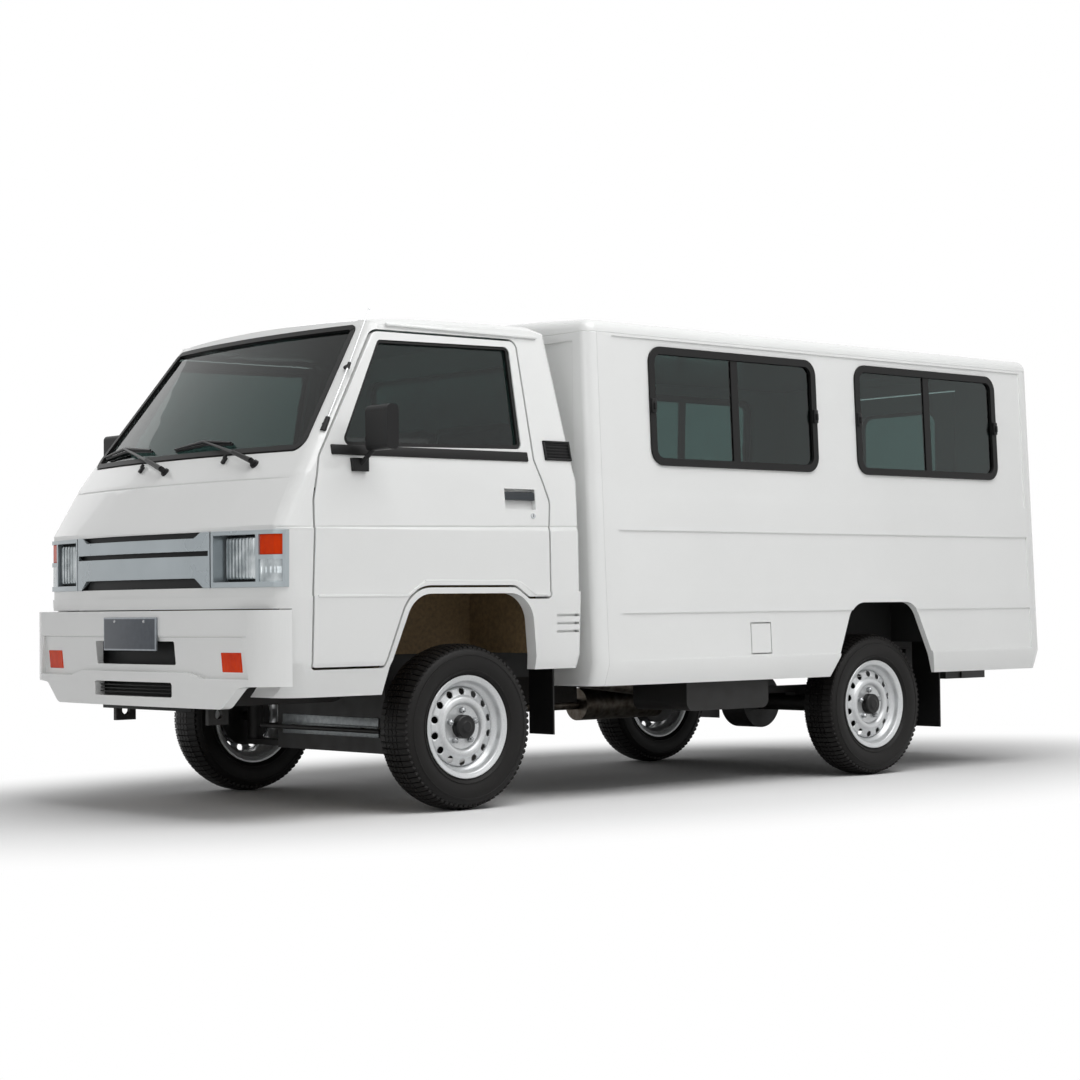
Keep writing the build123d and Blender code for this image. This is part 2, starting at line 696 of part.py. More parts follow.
def knuckle():
    """Left kingpin with its upright, brake disc and stub axle."""
    reach = ARM_SPREAD - ARM_THICK / 2 - RUNNING_GAP
    pin_reach = ARM_SPREAD + ARM_THICK / 2 + 2
    hub = TYRE_RADIUS
    pin = rod((0, KINGPIN_Y, hub - pin_reach), (0, KINGPIN_Y, hub + pin_reach), KINGPIN_RADIUS)
    upright = rod((0, KINGPIN_Y, hub - reach), (0, KINGPIN_Y, hub + reach), KINGPIN_RADIUS + ARM_EYE - 2)
    stub = rod((0, KINGPIN_Y, hub), (0, FRONT_WHEEL_Y + SPINDLE_OUT - 1, hub), SPINDLE_RADIUS)
    disc = rod((0, FRONT_WHEEL_Y - DISC_IN, hub), (0, FRONT_WHEEL_Y + DISC_OUT, hub), DRUM_RADIUS)
    return pin + upright + stub + disc


# Wheels: (radius, distance out) profiles about the axle
VENT_RING = 138
DISC_RIDGE = 112
DISH_RADIUS = 86
DISH_OUT = 38
WELL_RADIUS = 150


def wheel(x, y, side):
    """Pressed-steel disc wheel: rim with a drop well, ridged disc with vent holes, and a hub."""
    seat, well, metal = RIM_SEAT_RADIUS, WELL_RADIUS, RIM_METAL
    lip = seat + RIM_FLANGE
    edge = RIM_WIDTH / 2
    bore = SPINDLE_RADIUS + RUNNING_GAP
    dish, ridge = DISH_RADIUS, DISC_RIDGE
    profile = [
        (lip, -edge), (lip, metal - edge), (seat, metal - edge), (seat - metal, 30 - edge), (well, 45 - edge),
        (well, 24), (seat - metal, edge - 34), (seat, edge - metal), (lip, edge - metal), (lip, edge),
        (seat - metal / 2, edge), (seat - 2 * metal, edge - 34), (well - metal / 2, 22),
        (ridge + 12, DISH_OUT + 8), (ridge, DISH_OUT + 22), (dish + 8, DISH_OUT + 20), (dish, DISH_OUT),
        (HUB_RADIUS, DISH_OUT), (HUB_RADIUS - 8, edge - 8), (0, edge - 8), (0, SPINDLE_OUT),
        (bore, SPINDLE_OUT),
        (bore, HUB_BACK), (dish - metal, HUB_BACK), (dish + 4, DISH_OUT + 8), (ridge, DISH_OUT + 12),
        (well - metal, 12), (well - metal, 45 - edge), (seat - 2 * metal, 28 - edge), (seat - metal, -edge),
    ]
    disc = turned([(radius, out * side) for radius, out in profile], x, y)
    for index in range(VENT_HOLES):
        angle = 2 * math.pi * index / VENT_HOLES
        hole_x = x + VENT_RING * math.cos(angle)
        hole_z = TYRE_RADIUS + VENT_RING * math.sin(angle)
        disc -= rod((hole_x, y, hole_z), (hole_x, y + side * FAR, hole_z), VENT_HOLE_RADIUS)
    return disc


def tyre(x, y):
    """Tyre with a rounded shoulder, seated on the rim."""
    seat = RIM_SEAT_RADIUS + RUNNING_GAP
    bead = RIM_WIDTH / 2 - RIM_METAL - RUNNING_GAP
    half = TYRE_WIDTH / 2
    wall = seat + (TYRE_RADIUS - seat) * 0.5
    right = [
        (seat, bead), (seat + RIM_FLANGE + 2, bead), (wall, half), (TYRE_RADIUS - 20, half - 8),
        (TYRE_RADIUS, half - 30),
    ]
    left = [(radius, -out) for radius, out in reversed(right)]
    return turned(right + left, x, y)


# Air slots behind the front arch, and the cup of the door handle, (x, z) limits
SLOT_HEIGHTS = (749, 717, 685)
SLOT_X = (-556, -433)
SLOT_HALF = 5
SLOT_DEPTH = 9
HANDLE_X = (-343, -184)
HANDLE_CUP = (1168, 1249)
HANDLE_BAR = (1204, 1238)
HANDLE_CUP_DEPTH = 24
HANDLE_IN = 2
HANDLE_THICK = 12


def handle_zone(z_range, clear):
    """Part of the left side at the door handle."""
    return block((HANDLE_X[0] + clear, HANDLE_X[1] - clear), (0, FAR), z_range)


# Cab pieces
def band_room(gap):
    """Room across the cab's face for the grille and its lamps."""
    return front_cut(BAND_POINTS, gap) & block((NOSE_X - BAND_BACK, FAR), (-FAR, FAR), (0, FAR))


def cab_panels():
    """The cab's fixed panels, split where the pressings meet, and its left door."""
    outer = cab_hull(0) + (cab_hull(-FLARE) & prism(FLARE_POINTS, "y", -FAR, 2 * FAR))
    shell = outer - cab_hull(CAB_WALL, OPEN_BELOW)
    screen = front_cut(SCREEN_POINTS, 0, SCREEN_CORNER)
    shell -= screen
    arch = side_cut(ARCH_POINTS)
    shell -= arch
    shell -= right_of(arch)
    low_back = block((-FAR, -300), (-FAR, FAR), (0, SILL_Z + REAR_SILL_RISE))
    shell -= low_back

    roof = shell & block((-FAR, FAR), (-FAR, FAR), (RAIL_Z, FAR))
    body = shell - block((-FAR, FAR), (-FAR, FAR), (RAIL_Z, FAR))
    opening = side_cut(DOOR_POINTS)
    rebate = side_cut(DOOR_POINTS, DOOR_REBATE) & cab_hull(CAB_WALL * 0.4, OPEN_BELOW)
    door = (body & side_cut(DOOR_POINTS, -DOOR_GAP)) - side_cut(DOOR_GLASS_POINTS, 0, DOOR_PANE_CORNER)
    for cutter in (opening, rebate):
        body -= cutter
        body -= right_of(cutter)

    nose_cut = [
        (DOOR_FRONT_X + 2, 0), (DOOR_FRONT_X + 2, DOOR_BOTTOM_Z), (DOOR_FRONT_X - 12, ARCH_CREASE_Z),
        (DOOR_FRONT_X - 40, SIDE_CREASE_Z + 103), (DOOR_FRONT_X - 80, PILLAR_SEAM_Z),
        (FAR, PILLAR_SEAM_Z), (FAR, 0),
    ]
    nose = prism(nose_cut, "y", -FAR, 2 * FAR)
    front = body & nose
    body -= nose
    back_edge = CAB_WALL + BACK_CORNER
    back_cut = [
        (cab_side_y(SILL_Z + 200) - back_edge, SILL_Z), (RAIL_HALF - back_edge, RAIL_Z),
        (back_edge - RAIL_HALF, RAIL_Z), (back_edge - cab_side_y(SILL_Z + 200), SILL_Z),
    ]
    rear = prism(back_cut, "x", -CAB_BACK - 100, 100 + CAB_WALL + 60)
    back = body & rear & block((-FAR, FAR), (-FAR, FAR), (DECK_Z - FLOOR_PLATE, FAR))
    body -= rear
    side = body & block((-FAR, FAR), (0, FAR), (0, FAR))
    for z in SLOT_HEIGHTS:
        side -= block(SLOT_X, (0, FAR), (z - SLOT_HALF, z + SLOT_HALF)) - cab_hull(SLOT_DEPTH)
    door -= handle_zone(HANDLE_CUP, 0) - cab_hull(HANDLE_CUP_DEPTH)

    front -= band_room(0)
    front -= bumper_plan(-BUMPER_GAP, 0, BUMPER_TOP_Z + BUMPER_GAP) & block(
        (FRONT_OVERHANG - BUMPER_END_BACK - BUMPER_GAP, FAR), (-FAR, FAR), (0, FAR))
    straps = [hinge_strap(z) & cab_hull(CAB_WALL / 2) for z in HINGE_HEIGHTS]
    for strap in straps:
        front += strap
        front += right_of(strap)
    for z in HINGE_HEIGHTS:
        door -= hinge_pocket(z)
        door += hinge_pin(z)
    window = [(-BACK_WINDOW_HALF, BACK_WINDOW_LOW), (BACK_WINDOW_HALF, BACK_WINDOW_LOW)]
    window += [(BACK_WINDOW_HALF, BACK_WINDOW_HIGH), (-BACK_WINDOW_HALF, BACK_WINDOW_HIGH)]
    back_hole = prism(window, "x", -CAB_BACK - 100, 300, BACK_PANE_CORNER)
    back_glass = back & back_hole & (cab_hull(BACK_PANE_IN) - cab_hull(BACK_PANE_IN + GLASS))
    back -= back_hole
    screen_glass = (cab_hull(SCREEN_IN) - cab_hull(SCREEN_IN + GLASS)) & screen
    return {
        "cab_roof": roof,
        "cab_front_panel": front,
        "cab_side_left": side,
        "cab_side_right": right_of(side),
        "cab_back_panel": back,
        "cab_back_window": back_glass,
        "windshield": screen_glass,
        "door_left": door,
        "door_right": right_of(door),
    }


BACK_WINDOW_HALF = 480
BACK_WINDOW_LOW = 1400
BACK_WINDOW_HIGH = 1780


def door_glass():
    """Left door pane, set back from the skin."""
    slab = cab_hull(DOOR_PANE_IN) - cab_hull(DOOR_PANE_IN + GLASS)
    return slab & side_cut(DOOR_GLASS_POINTS, 0, DOOR_PANE_CORNER)


RISER_X = 400
FOOT_HALF = 700
ARCH_WALL = 20
ARCH_BACK_WALL_X = ARCH_HEEL_X - 15


def cab_floor():
    """Footwell, riser and seat deck, with the inner and back walls of the wheel arches."""
    back_x = -CAB_BACK + CAB_WALL + 15
    inside = cab_hull(CAB_WALL + RUNNING_GAP, 0)
    rail_out = RAIL_SPACING / 2 + RAIL_WIDTH / 2
    inside += block((back_x, NOSE_X - 180), (-FOOT_HALF, FOOT_HALF), (SILL_Z - 60, SILL_Z + 60))
    foot = block((RISER_X, FAR), (-FAR, FAR), (FOOTWELL_Z - FLOOR_PLATE, FOOTWELL_Z))
    riser = block((RISER_X, RISER_X + FLOOR_PLATE), (-FAR, FAR), (FOOTWELL_Z - FLOOR_PLATE, DECK_Z))
    deck = block((-FAR, RISER_X + FLOOR_PLATE), (-FAR, FAR), (DECK_Z - FLOOR_PLATE, DECK_Z))
    floor = foot + riser + deck
    wall_z = (REAR_RAIL_TOP_Z, DECK_Z - FLOOR_PLATE)
    for side in (1, -1):
        inner = sorted((side * (rail_out + 5), side * (rail_out + 5 + ARCH_WALL)))
        outer = sorted((side * (rail_out + 5), side * FAR))
        floor += block((back_x, RISER_X), inner, wall_z)
        floor += block((ARCH_BACK_WALL_X - ARCH_WALL, ARCH_BACK_WALL_X), outer, wall_z)
    return floor & inside


DASH_HALF = 690
DASH_POINTS = [
    # x, z
    (600, 1010), (560, 1180), (590, 1260), (FAR, 1300), (FAR, 900), (700, 900),
]
DASH_CLEAR = 12


def dashboard():
    """Moulded dashboard across the cab behind the front panel, with room for the headlamps."""
    board = prism(DASH_POINTS, "y", -DASH_HALF, 2 * DASH_HALF) & cab_hull(CAB_WALL + RUNNING_GAP)
    for side in (1, -1):
        board -= headlamp_room(SLEEVE + DASH_CLEAR, side)
    return board


SEATS = [
    # middle y, width
    (360, 440), (-140, 380), (-480, 280),
]
SEAT_POINTS = [
    # x, height over the deck
    (250, 0), (250, 150), (-230, 130), (-380, 680), (-480, 660), (-370, 0),
]
SEAT_ROUNDING = 20


def cab_seats():
    """Driver's seat and passenger bench on the deck, plain solids."""
    shape = [(x, DECK_Z + rise) for x, rise in SEAT_POINTS]
    return [prism(shape, "y", y - wide / 2, wide, SEAT_ROUNDING) for y, wide in SEATS]


STEERING_WHEEL_RADIUS = 195
STEERING_GRIP = 14
STEERING_Y = 360
STEERING_HUB = (430, 1245)
STEERING_FOOT_X = 640
COLUMN_RADIUS = 22
SPOKE = (34, 14)


def steering_wheel():
    """Large near-flat wheel on a column from the footwell."""
    hub = Vector(STEERING_HUB[0], STEERING_Y, STEERING_HUB[1])
    foot = Vector(STEERING_FOOT_X, STEERING_Y, FOOTWELL_Z + 7)
    lean = Plane(origin=hub, z_dir=hub - foot)
    grip = STEERING_GRIP
    section = [(STEERING_WHEEL_RADIUS + grip * math.cos(turn), grip * math.sin(turn)) for turn in
               [math.radians(30 + 60 * index) for index in range(6)]]
    face = Face(Wire(Polyline(*[(radius, 0, height) for radius, height in section], close=True).edges()))
    rim = lean * revolve(face, Axis.Z)
    column = rod(tuple(foot), tuple(hub), COLUMN_RADIUS)
    wide, thick = SPOKE
    across = 2 * STEERING_WHEEL_RADIUS
    spokes = lean * Box(across, wide, thick) + lean * Box(wide, across, thick)
    return rim + column + spokes


def grille():
    """Silver grille with its lamp bezels, one moulding across the face."""
    slab = cab_hull(-GRILLE_PROUD) - cab_hull(GRILLE_DEPTH)
    body = slab & band_room(RUNNING_GAP)
    floor = cab_hull(POCKET_DEPTH)
    for below, low, above, high in GRILLE_POCKETS:
        body -= front_cut([(below, low), (above, high), (-above, high), (-below, low)]) - floor
    deep = cab_hull(0) - cab_hull(HEADLAMP_BACK)
    for side in (1, -1):
        body -= lamp_hole(*BEZEL_GAP, BAND_LOW_Z - 5, BAND_HIGH_Z + 5, side) - floor
        body += deep & headlamp_room(SLEEVE, side)
        body -= headlamp_room(0, side)
        body -= lamp_hole(CORNER_LAMP_IN, CORNER_LAMP_OUT, LAMP_LOW_Z, CLEAR_HIGH_Z, side)
        body -= lamp_hole(CORNER_LAMP_IN, CORNER_LAMP_OUT, AMBER_LOW_Z, LAMP_HIGH_Z, side)
    return body


def lamp_hole(inner, outer, low, high, side):
    """Opening for one lamp."""
    y = sorted((side * inner, side * outer))
    return block((NOSE_X - BAND_BACK + BAND_END, FAR), y, (low, high))


def headlamp_room(wall, side):
    """Opening for one headlamp, grown by a wall all round."""
    return lamp_hole(LAMP_IN - wall, LAMP_OUT + wall, LAMP_LOW_Z - wall, LAMP_HIGH_Z + wall, side)


def lamps():
    """Deep-set headlamps and flush corner lamps, clear below and amber above."""
    deep = cab_hull(HEADLAMP_IN) - cab_hull(HEADLAMP_BACK)
    slab = cab_hull(-LAMP_PROUD) - cab_hull(GRILLE_DEPTH)
    clear = []
    amber = []
    for side in (1, -1):
        clear.append(deep & headlamp_room(0, side))
        clear.append(slab & lamp_hole(CORNER_LAMP_IN, CORNER_LAMP_OUT, LAMP_LOW_Z, CLEAR_HIGH_Z, side))
        amber.append(slab & lamp_hole(CORNER_LAMP_IN, CORNER_LAMP_OUT, AMBER_LOW_Z, LAMP_HIGH_Z, side))
    return clear, amber + bumper_lamps()


# Mirror on its arm, and the pull handle
MIRROR_FOOT = (523, BELT_Z - 45)
MIRROR_HEAD = (478, 532, 863, 997, 1369, 1537)


def mirror_left():
    """Door mirror: foot on the door skin, round arm and a tall head."""
    x, z = MIRROR_FOOT
    y = cab_side_y(z)
    foot = block((x - 35, x + 35), (y - 10, y + 22), (z - 25, z + 25)) - cab_hull(-RUNNING_GAP)
    low_x, high_x, low_y, high_y, low_z, high_z = MIRROR_HEAD
    shape = [(low_x, low_z), (low_x, high_z), (high_x, high_z), (high_x, low_z)]
    head = prism(shape, "y", low_y, high_y - low_y, 20)
    arm = rod((x, y + 12, z), ((low_x + high_x) / 2, low_y + 40, low_z + 20), 9)
    return foot + arm + head


def door_handle():
    """Pull bar across the cup in the left door."""
    return (cab_hull(HANDLE_IN) - cab_hull(HANDLE_IN + HANDLE_THICK)) & handle_zone(HANDLE_BAR, RUNNING_GAP)


# Box body
def box_side_y(z):
    """Half width of the box's side at a height above its lower turn."""
    return BOX_HALF - BOX_LEAN * (z - BOX_TURN_Z)


def box_hull(inset, open_below=0):
    """Solid inside the box's skin, drawn in by inset; the outer skin has rounded corners."""
    low = BOX_BOTTOM_Z - open_below
    edge_z = BOX_EDGE_Z - inset
    start, length = BOX_REAR_X + inset, BOX_LENGTH - 2 * inset
    half = [
        (start, BOX_HALF - BOX_TUCK - inset, low),
        (start, BOX_HALF - inset, BOX_TURN_Z),
        (start, box_side_y(edge_z) - inset, edge_z),
    ]
    mirrored = [(x, -y, z) for x, y, z in reversed(half)]
    crown = ThreePointArc(half[-1], (start, 0, BOX_TOP_Z - inset), mirrored[0])
    rim = Wire([*Polyline(*half).edges(), crown, *Polyline(*mirrored).edges(), Line(mirrored[-1], half[0])])
    hull = Solid.extrude(Face(rim), Vector(length, 0, 0))
    if inset > 0:
        return hull
    radius = BOX_CORNER - inset
    ends = [hull.faces().sort_by(Axis.X)[index] for index in (0, -1)]
    edges = [edge for face in ends for edge in face.edges() if edge.center().Z > low + 5]
    edges += [edge for edge in hull.edges().filter_by(Axis.X) if edge.center().Z > BOX_EDGE_Z - inset - 5]
    return fillet(edges, radius)


WINDOWS = [
    # front x, back x
    (BOX_FRONT_X - 344, BOX_FRONT_X - 1378),
    (BOX_FRONT_X - 1645, BOX_FRONT_X - 2666),
]
BANDS = [
    # low z, high z of each recessed field between the raised bands
    (BOX_TURN_Z + 15, 753),
    (847, 1094),
    (1240, BOX_ROOF_SEAM_Z - 11),
]
REAR_ARCH_TOP_Z = 787
REAR_ARCH_POINTS = [
    # x from the rear axle, z, corner radius
    (375, BOX_BOTTOM_Z - OPEN_BELOW, 10),
    (365, BOX_BOTTOM_Z, 40),
    (222, REAR_ARCH_TOP_Z, 110),
    (-208, REAR_ARCH_TOP_Z, 110),
    (-363, BOX_BOTTOM_Z, 40),
    (-373, BOX_BOTTOM_Z - OPEN_BELOW, 10),
]
FLAP_FRONT = BOX_FRONT_X - 899
FLAP_SIZE = (130, 137)
FLAP_LOW_Z = 569
FLAP_GAP = 5.5
FLAP_THICK = 12
FLAP_POCKET = 24
FLAP_PIN = 3


def window_points(front, back):
    """Outline of one box window, (x, z)."""
    return [(front, WINDOW_LOW), (front, WINDOW_HIGH), (back, WINDOW_HIGH), (back, WINDOW_LOW)]


def flap_points(shrink):
    """Outline of the fuel flap, (x, z)."""
    wide, high = FLAP_SIZE
    front, back = FLAP_FRONT - shrink, FLAP_FRONT - wide + shrink
    low, top = FLAP_LOW_Z + shrink, FLAP_LOW_Z + high - shrink
    return [(front, low), (front, top), (back, top), (back, low)]


FLAP_AXIS_Z = FLAP_LOW_Z + FLAP_SIZE[1] / 2
FLAP_AXIS = (FLAP_FRONT - FLAP_GAP - 8, box_side_y(FLAP_AXIS_Z) - FIELD_DEPTH - 8)


def flap_line(radius, length):
    """Upright bar on the fuel flap's hinge line."""
    low = FLAP_AXIS_Z - length / 2
    return rod((*FLAP_AXIS, low), (*FLAP_AXIS, low + length), radius)


def fuel_flap():
    """Flap with a knuckle at its front edge."""
    skin = box_hull(FIELD_DEPTH) - box_hull(FIELD_DEPTH + FLAP_THICK)
    flap = skin & side_cut(flap_points(FLAP_GAP))
    flap += flap_line(FLAP_PIN + 4, FLAP_SIZE[1] - 2 * FLAP_GAP)
    return flap - flap_line(FLAP_PIN + RUNNING_GAP, FLAP_SIZE[1])


def box_panels():
    """The box's walls, roof and rear frame, split at its seams, and its rear door."""
    outer = box_hull(0)
    shell = outer - box_hull(BOX_WALL, OPEN_BELOW)
    shell -= block((-FAR * 2, FAR), (-FAR, FAR), (0, BOX_BOTTOM_Z))
    roof_zone = block((-2 * FAR, FAR), (-FAR, FAR), (BOX_ROOF_SEAM_Z, FAR))
    roof = shell & roof_zone
    walls = shell - roof_zone
    front_zone = block((BOX_FRONT_X - BOX_CORNER - 5, FAR), (-FAR, FAR), (0, FAR))
    rear_zone = block((-2 * FAR, BOX_REAR_X + BOX_CORNER + 5), (-FAR, FAR), (0, FAR))
    under = block((-2 * FAR, FAR), (-0.8 * RAIL_SPACING, 0.8 * RAIL_SPACING), (0, REAR_RAIL_TOP_Z))
    front = (walls & front_zone) - under
    front -= block((BOX_FRONT_X - FIELD_DEPTH, FAR), (-FRONT_FIELD_HALF, FRONT_FIELD_HALF), FRONT_FIELD_Z)
    rear = walls & rear_zone
    side = (walls - front_zone - rear_zone) & block((-2 * FAR, FAR), (0, FAR), (0, FAR))

    field_front, field_back = BOX_FRONT_X - FIELD_BORDER, BOX_REAR_X + FIELD_BORDER - 57
    core = box_hull(FIELD_DEPTH)
    for low, high in BANDS:
        side -= block((field_back, field_front), (0, FAR), (low, high)) - core
    for front_x, back_x in WINDOWS:
        side -= side_cut(window_points(front_x, back_x), 0, WINDOW_CORNER)
    arch = side_cut([(REAR_AXLE_X + x, z, radius) for x, z, radius in REAR_ARCH_POINTS])
    side -= arch
    plain_side = side
    side -= side_cut(flap_points(0)) - box_hull(FIELD_DEPTH + FLAP_POCKET)
    side += flap_line(FLAP_PIN, FLAP_SIZE[1] + 2)

    door_edge = [
        (-REAR_DOOR_HALF, REAR_DOOR_LOW), (REAR_DOOR_HALF, REAR_DOOR_LOW),
        (REAR_DOOR_HALF, REAR_DOOR_HIGH), (-REAR_DOOR_HALF, REAR_DOOR_HIGH),
    ]
    opening = prism(door_edge, "x", BOX_REAR_X - 50, 300)
    inner_edge = [(y - math.copysign(REAR_GAP, y), z) for y, z in door_edge]
    inner_edge = [(y, z + (REAR_GAP if z < BELT_Z else -REAR_GAP)) for y, z in inner_edge]
    door = rear & prism(inner_edge, "x", BOX_REAR_X - 50, 300)
    rear -= opening
    pane_edge = [
        (-REAR_PANE_HALF, REAR_PANE_LOW), (REAR_PANE_HALF, REAR_PANE_LOW),
        (REAR_PANE_HALF, REAR_PANE_HIGH), (-REAR_PANE_HALF, REAR_PANE_HIGH),
    ]
    pane = prism(pane_edge, "x", BOX_REAR_X - 50, 300, WINDOW_CORNER)
    glass = door & pane & (box_hull(REAR_PANE_IN) - box_hull(REAR_PANE_IN + GLASS))
    door -= pane
    for z in REAR_HINGES_Z:
        fixed, moving = rear_hinge(z)
        rear += fixed
        door += moving
    return {
        "box_roof": roof,
        "box_front_wall": front,
        "box_rear_frame": rear,
        "box_side_left": side,
        "box_side_right": right_of(plain_side),
        "rear_door": door,
        "rear_door_glass": glass,
    }


REAR_HINGES_Z = (700, 1150, 1650)
REAR_HINGE_OUT = 14
REAR_HINGE_RADIUS = 10
REAR_PIN = 5
REAR_LEAF = (60, 34, 4)


def rear_hinge(z):
    """Butt hinge on the box's rear face: leaf, knuckle and pin on the frame, leaf and knuckle on the door."""
    y = REAR_DOOR_HALF - REAR_GAP / 2
    x = BOX_REAR_X - REAR_HINGE_OUT
    wide, high, thick = REAR_LEAF
    bar = (BOX_REAR_X - thick, BOX_REAR_X)
    link = (x, BOX_REAR_X)
    fixed = block(bar, (y + REAR_GAP / 2, y + wide), (z, z + high)) + block(link, (y, y + 8), (z, z + high))
    fixed += rod((x, y, z), (x, y, z + high), REAR_HINGE_RADIUS)
    fixed += rod((x, y, z - high), (x, y, z), REAR_PIN)
    low = (z - high, z - 1)
    moving = block(bar, (y - wide, y - REAR_GAP / 2), low) + block(link, (y - 8, y), low)
    moving += rod((x, y, low[0]), (x, y, low[1]), REAR_HINGE_RADIUS)
    moving -= rod((x, y, low[0] - 10), (x, y, z), REAR_PIN + RUNNING_GAP)
    return fixed, moving


def box_windows():
    """Panes and seals of all side windows."""
    seal_slab = box_hull(-SEAL_PROUD) - box_hull(SEAL_DEPTH)
    bar_slab = box_hull(BAR_IN) - box_hull(BAR_DEPTH)
    pane_slab = box_hull(PANE_IN) - box_hull(PANE_IN + GLASS)
    seals = []
    panes = []
    for front, back in WINDOWS:
        hole = side_cut(window_points(front, back), 0, WINDOW_CORNER)
        inner = [(front - SEAL, WINDOW_LOW + SEAL), (front - SEAL, WINDOW_HIGH - SEAL)]
        inner += [(back + SEAL, WINDOW_HIGH - SEAL), (back + SEAL, WINDOW_LOW + SEAL)]
        sight = side_cut(inner, 0, WINDOW_CORNER - SEAL)
        middle = (front + back) / 2
        bar = block((middle - SLIDE_BAR / 2, middle + SLIDE_BAR / 2), (0, FAR), (WINDOW_LOW, WINDOW_HIGH))
        seal = (seal_slab & (hole - sight)) + (bar_slab & sight & bar)
        pane = (pane_slab & sight) - bar
        seals += [seal, right_of(seal)]
        panes += [*pane.solids(), *right_of(pane).solids()]
    return panes, seals


TUB_X = (-375, 395)
TUB_WALL = 20
TUB_TOP_Z = 825
TUB_CLEAR = 45


def box_floor():
    """Load floor with a housing over each rear wheel."""
    inside = box_hull(BOX_WALL + RUNNING_GAP, OPEN_BELOW)
    under = BOX_FLOOR_Z - BOX_FLOOR_PLATE
    floor = block((-2 * FAR, FAR), (-FAR, FAR), (under, BOX_FLOOR_Z))
    back, front = (REAR_AXLE_X + x for x in TUB_X)
    tub_in = REAR_WHEEL_Y - TYRE_WIDTH / 2 - TUB_CLEAR
    for side in (1, -1):
        outer = sorted((side * tub_in, side * FAR))
        room = sorted((side * (tub_in + TUB_WALL), side * FAR))
        floor += block((back, front), outer, (under, TUB_TOP_Z))
        floor -= block((back + TUB_WALL, front - TUB_WALL), room, (0, TUB_TOP_Z - TUB_WALL))
    return floor & inside


# Small outside pieces
STEP_HALF = 380
STEP_Z = (400, 440)
STEP_ARM = 40
STEP_ARM_LENGTH = 80
MUDFLAPS = [
    # front x, inner y, outer y, low z, high z
    (ARCH_HEEL_X - 114, 655, 800, 272, SILL_Z + REAR_SILL_RISE),
    (REAR_AXLE_X - 440, 640, 800, 200, BOX_FLOOR_Z - BOX_FLOOR_PLATE),
]
MUDFLAP_THICK = 8
TANK_X = (BOX_FRONT_X - 1160, BOX_FRONT_X - 650)
TANK_Z = (330, 520)
TANK_WIDTH = 330
TANK_ROUNDING = 40
PIPE_Y = -220
PIPE_Z = 330
PIPE_X = (BOX_FRONT_X - 860, BOX_FRONT_X - 310)
PIPE_RADIUS = 24
SILENCER_LENGTH = 500
SILENCER_RADIUS = 75
HANGER_X = BOX_FRONT_X - 1140
HANGER = 40
TAIL_LAMP_Y = (600, 760)
TAIL_LAMP_Z = (900, 1020)
TAIL_LAMP_THICK = 30
TAIL_LAMP_ROUNDING = 15


def rear_step():
    """Step behind the rear door on two arms from the frame."""
    tip = BOX_REAR_X - STEP_REACH
    low, high = STEP_Z
    tread = block((tip, BOX_REAR_X + 10), (-STEP_HALF, STEP_HALF), STEP_Z)
    arm_end = RAIL_END_X + STEP_ARM_LENGTH
    for middle in (-RAIL_SPACING / 2, RAIL_SPACING / 2):
        y = (middle - STEP_ARM / 2, middle + STEP_ARM / 2)
        tread += block((BOX_REAR_X, arm_end), y, STEP_Z)
        tread += block((RAIL_END_X, arm_end), y, (low, REAR_RAIL_TOP_Z - RAIL_DEPTH))
    return tread


def mudflaps():
    """Hanging rubber flaps behind the wheels."""
    flaps = []
    for x, inner, outer, low, high in MUDFLAPS:
        flap = block((x - MUDFLAP_THICK, x), (inner, outer), (low, high))
        flaps += [flap, right_of(flap)]
    return flaps


def fuel_tank():
    """Flat tank hung on the left rail."""
    rail = RAIL_SPACING / 2 + RAIL_WIDTH / 2
    shape = [(TANK_X[1], TANK_Z[0]), (TANK_X[1], TANK_Z[1]), (TANK_X[0], TANK_Z[1]), (TANK_X[0], TANK_Z[0])]
    return prism(shape, "y", rail, TANK_WIDTH, TANK_ROUNDING)


def exhaust():
    """Silencer and tail pipe under the right side, hung on the right rail."""
    back, front = PIPE_X
    pipe = rod((front, PIPE_Y, PIPE_Z), (back, PIPE_Y, PIPE_Z), PIPE_RADIUS)
    pipe += rod((back, PIPE_Y, PIPE_Z), (back - SILENCER_LENGTH, PIPE_Y, PIPE_Z), SILENCER_RADIUS)
    rail_in = RAIL_WIDTH / 2 - RAIL_SPACING / 2
    hanger = block((HANGER_X, HANGER_X + HANGER), (rail_in - RAIL_WIDTH, PIPE_Y + 20),
                   (PIPE_Z, REAR_RAIL_TOP_Z - RAIL_DEPTH))
    return pipe + hanger


def tail_lamps():
    """Lamp blocks on the rear corners of the box."""
    (inner, outer), (low, high) = TAIL_LAMP_Y, TAIL_LAMP_Z
    shape = [(inner, low), (outer, low), (outer, high), (inner, high)]
    lamp = prism(shape, "x", BOX_REAR_X - TAIL_LAMP_THICK, TAIL_LAMP_THICK, TAIL_LAMP_ROUNDING)
    return [lamp, right_of(lamp)]


def save(name, shape):
    """Writes one sub-part at its place in the van's frame."""
    solids = []
    pieces = shape if isinstance(shape, (list, tuple)) else [shape]
    for piece in pieces:
        solids += list(piece.solids())
    moved = [Pos(FRONT_AXLE_X, 0, 0) * solid for solid in solids]
    whole = moved[0] if len(moved) == 1 else Compound(moved)
    export_step(whole, f"parts/{name}.step")


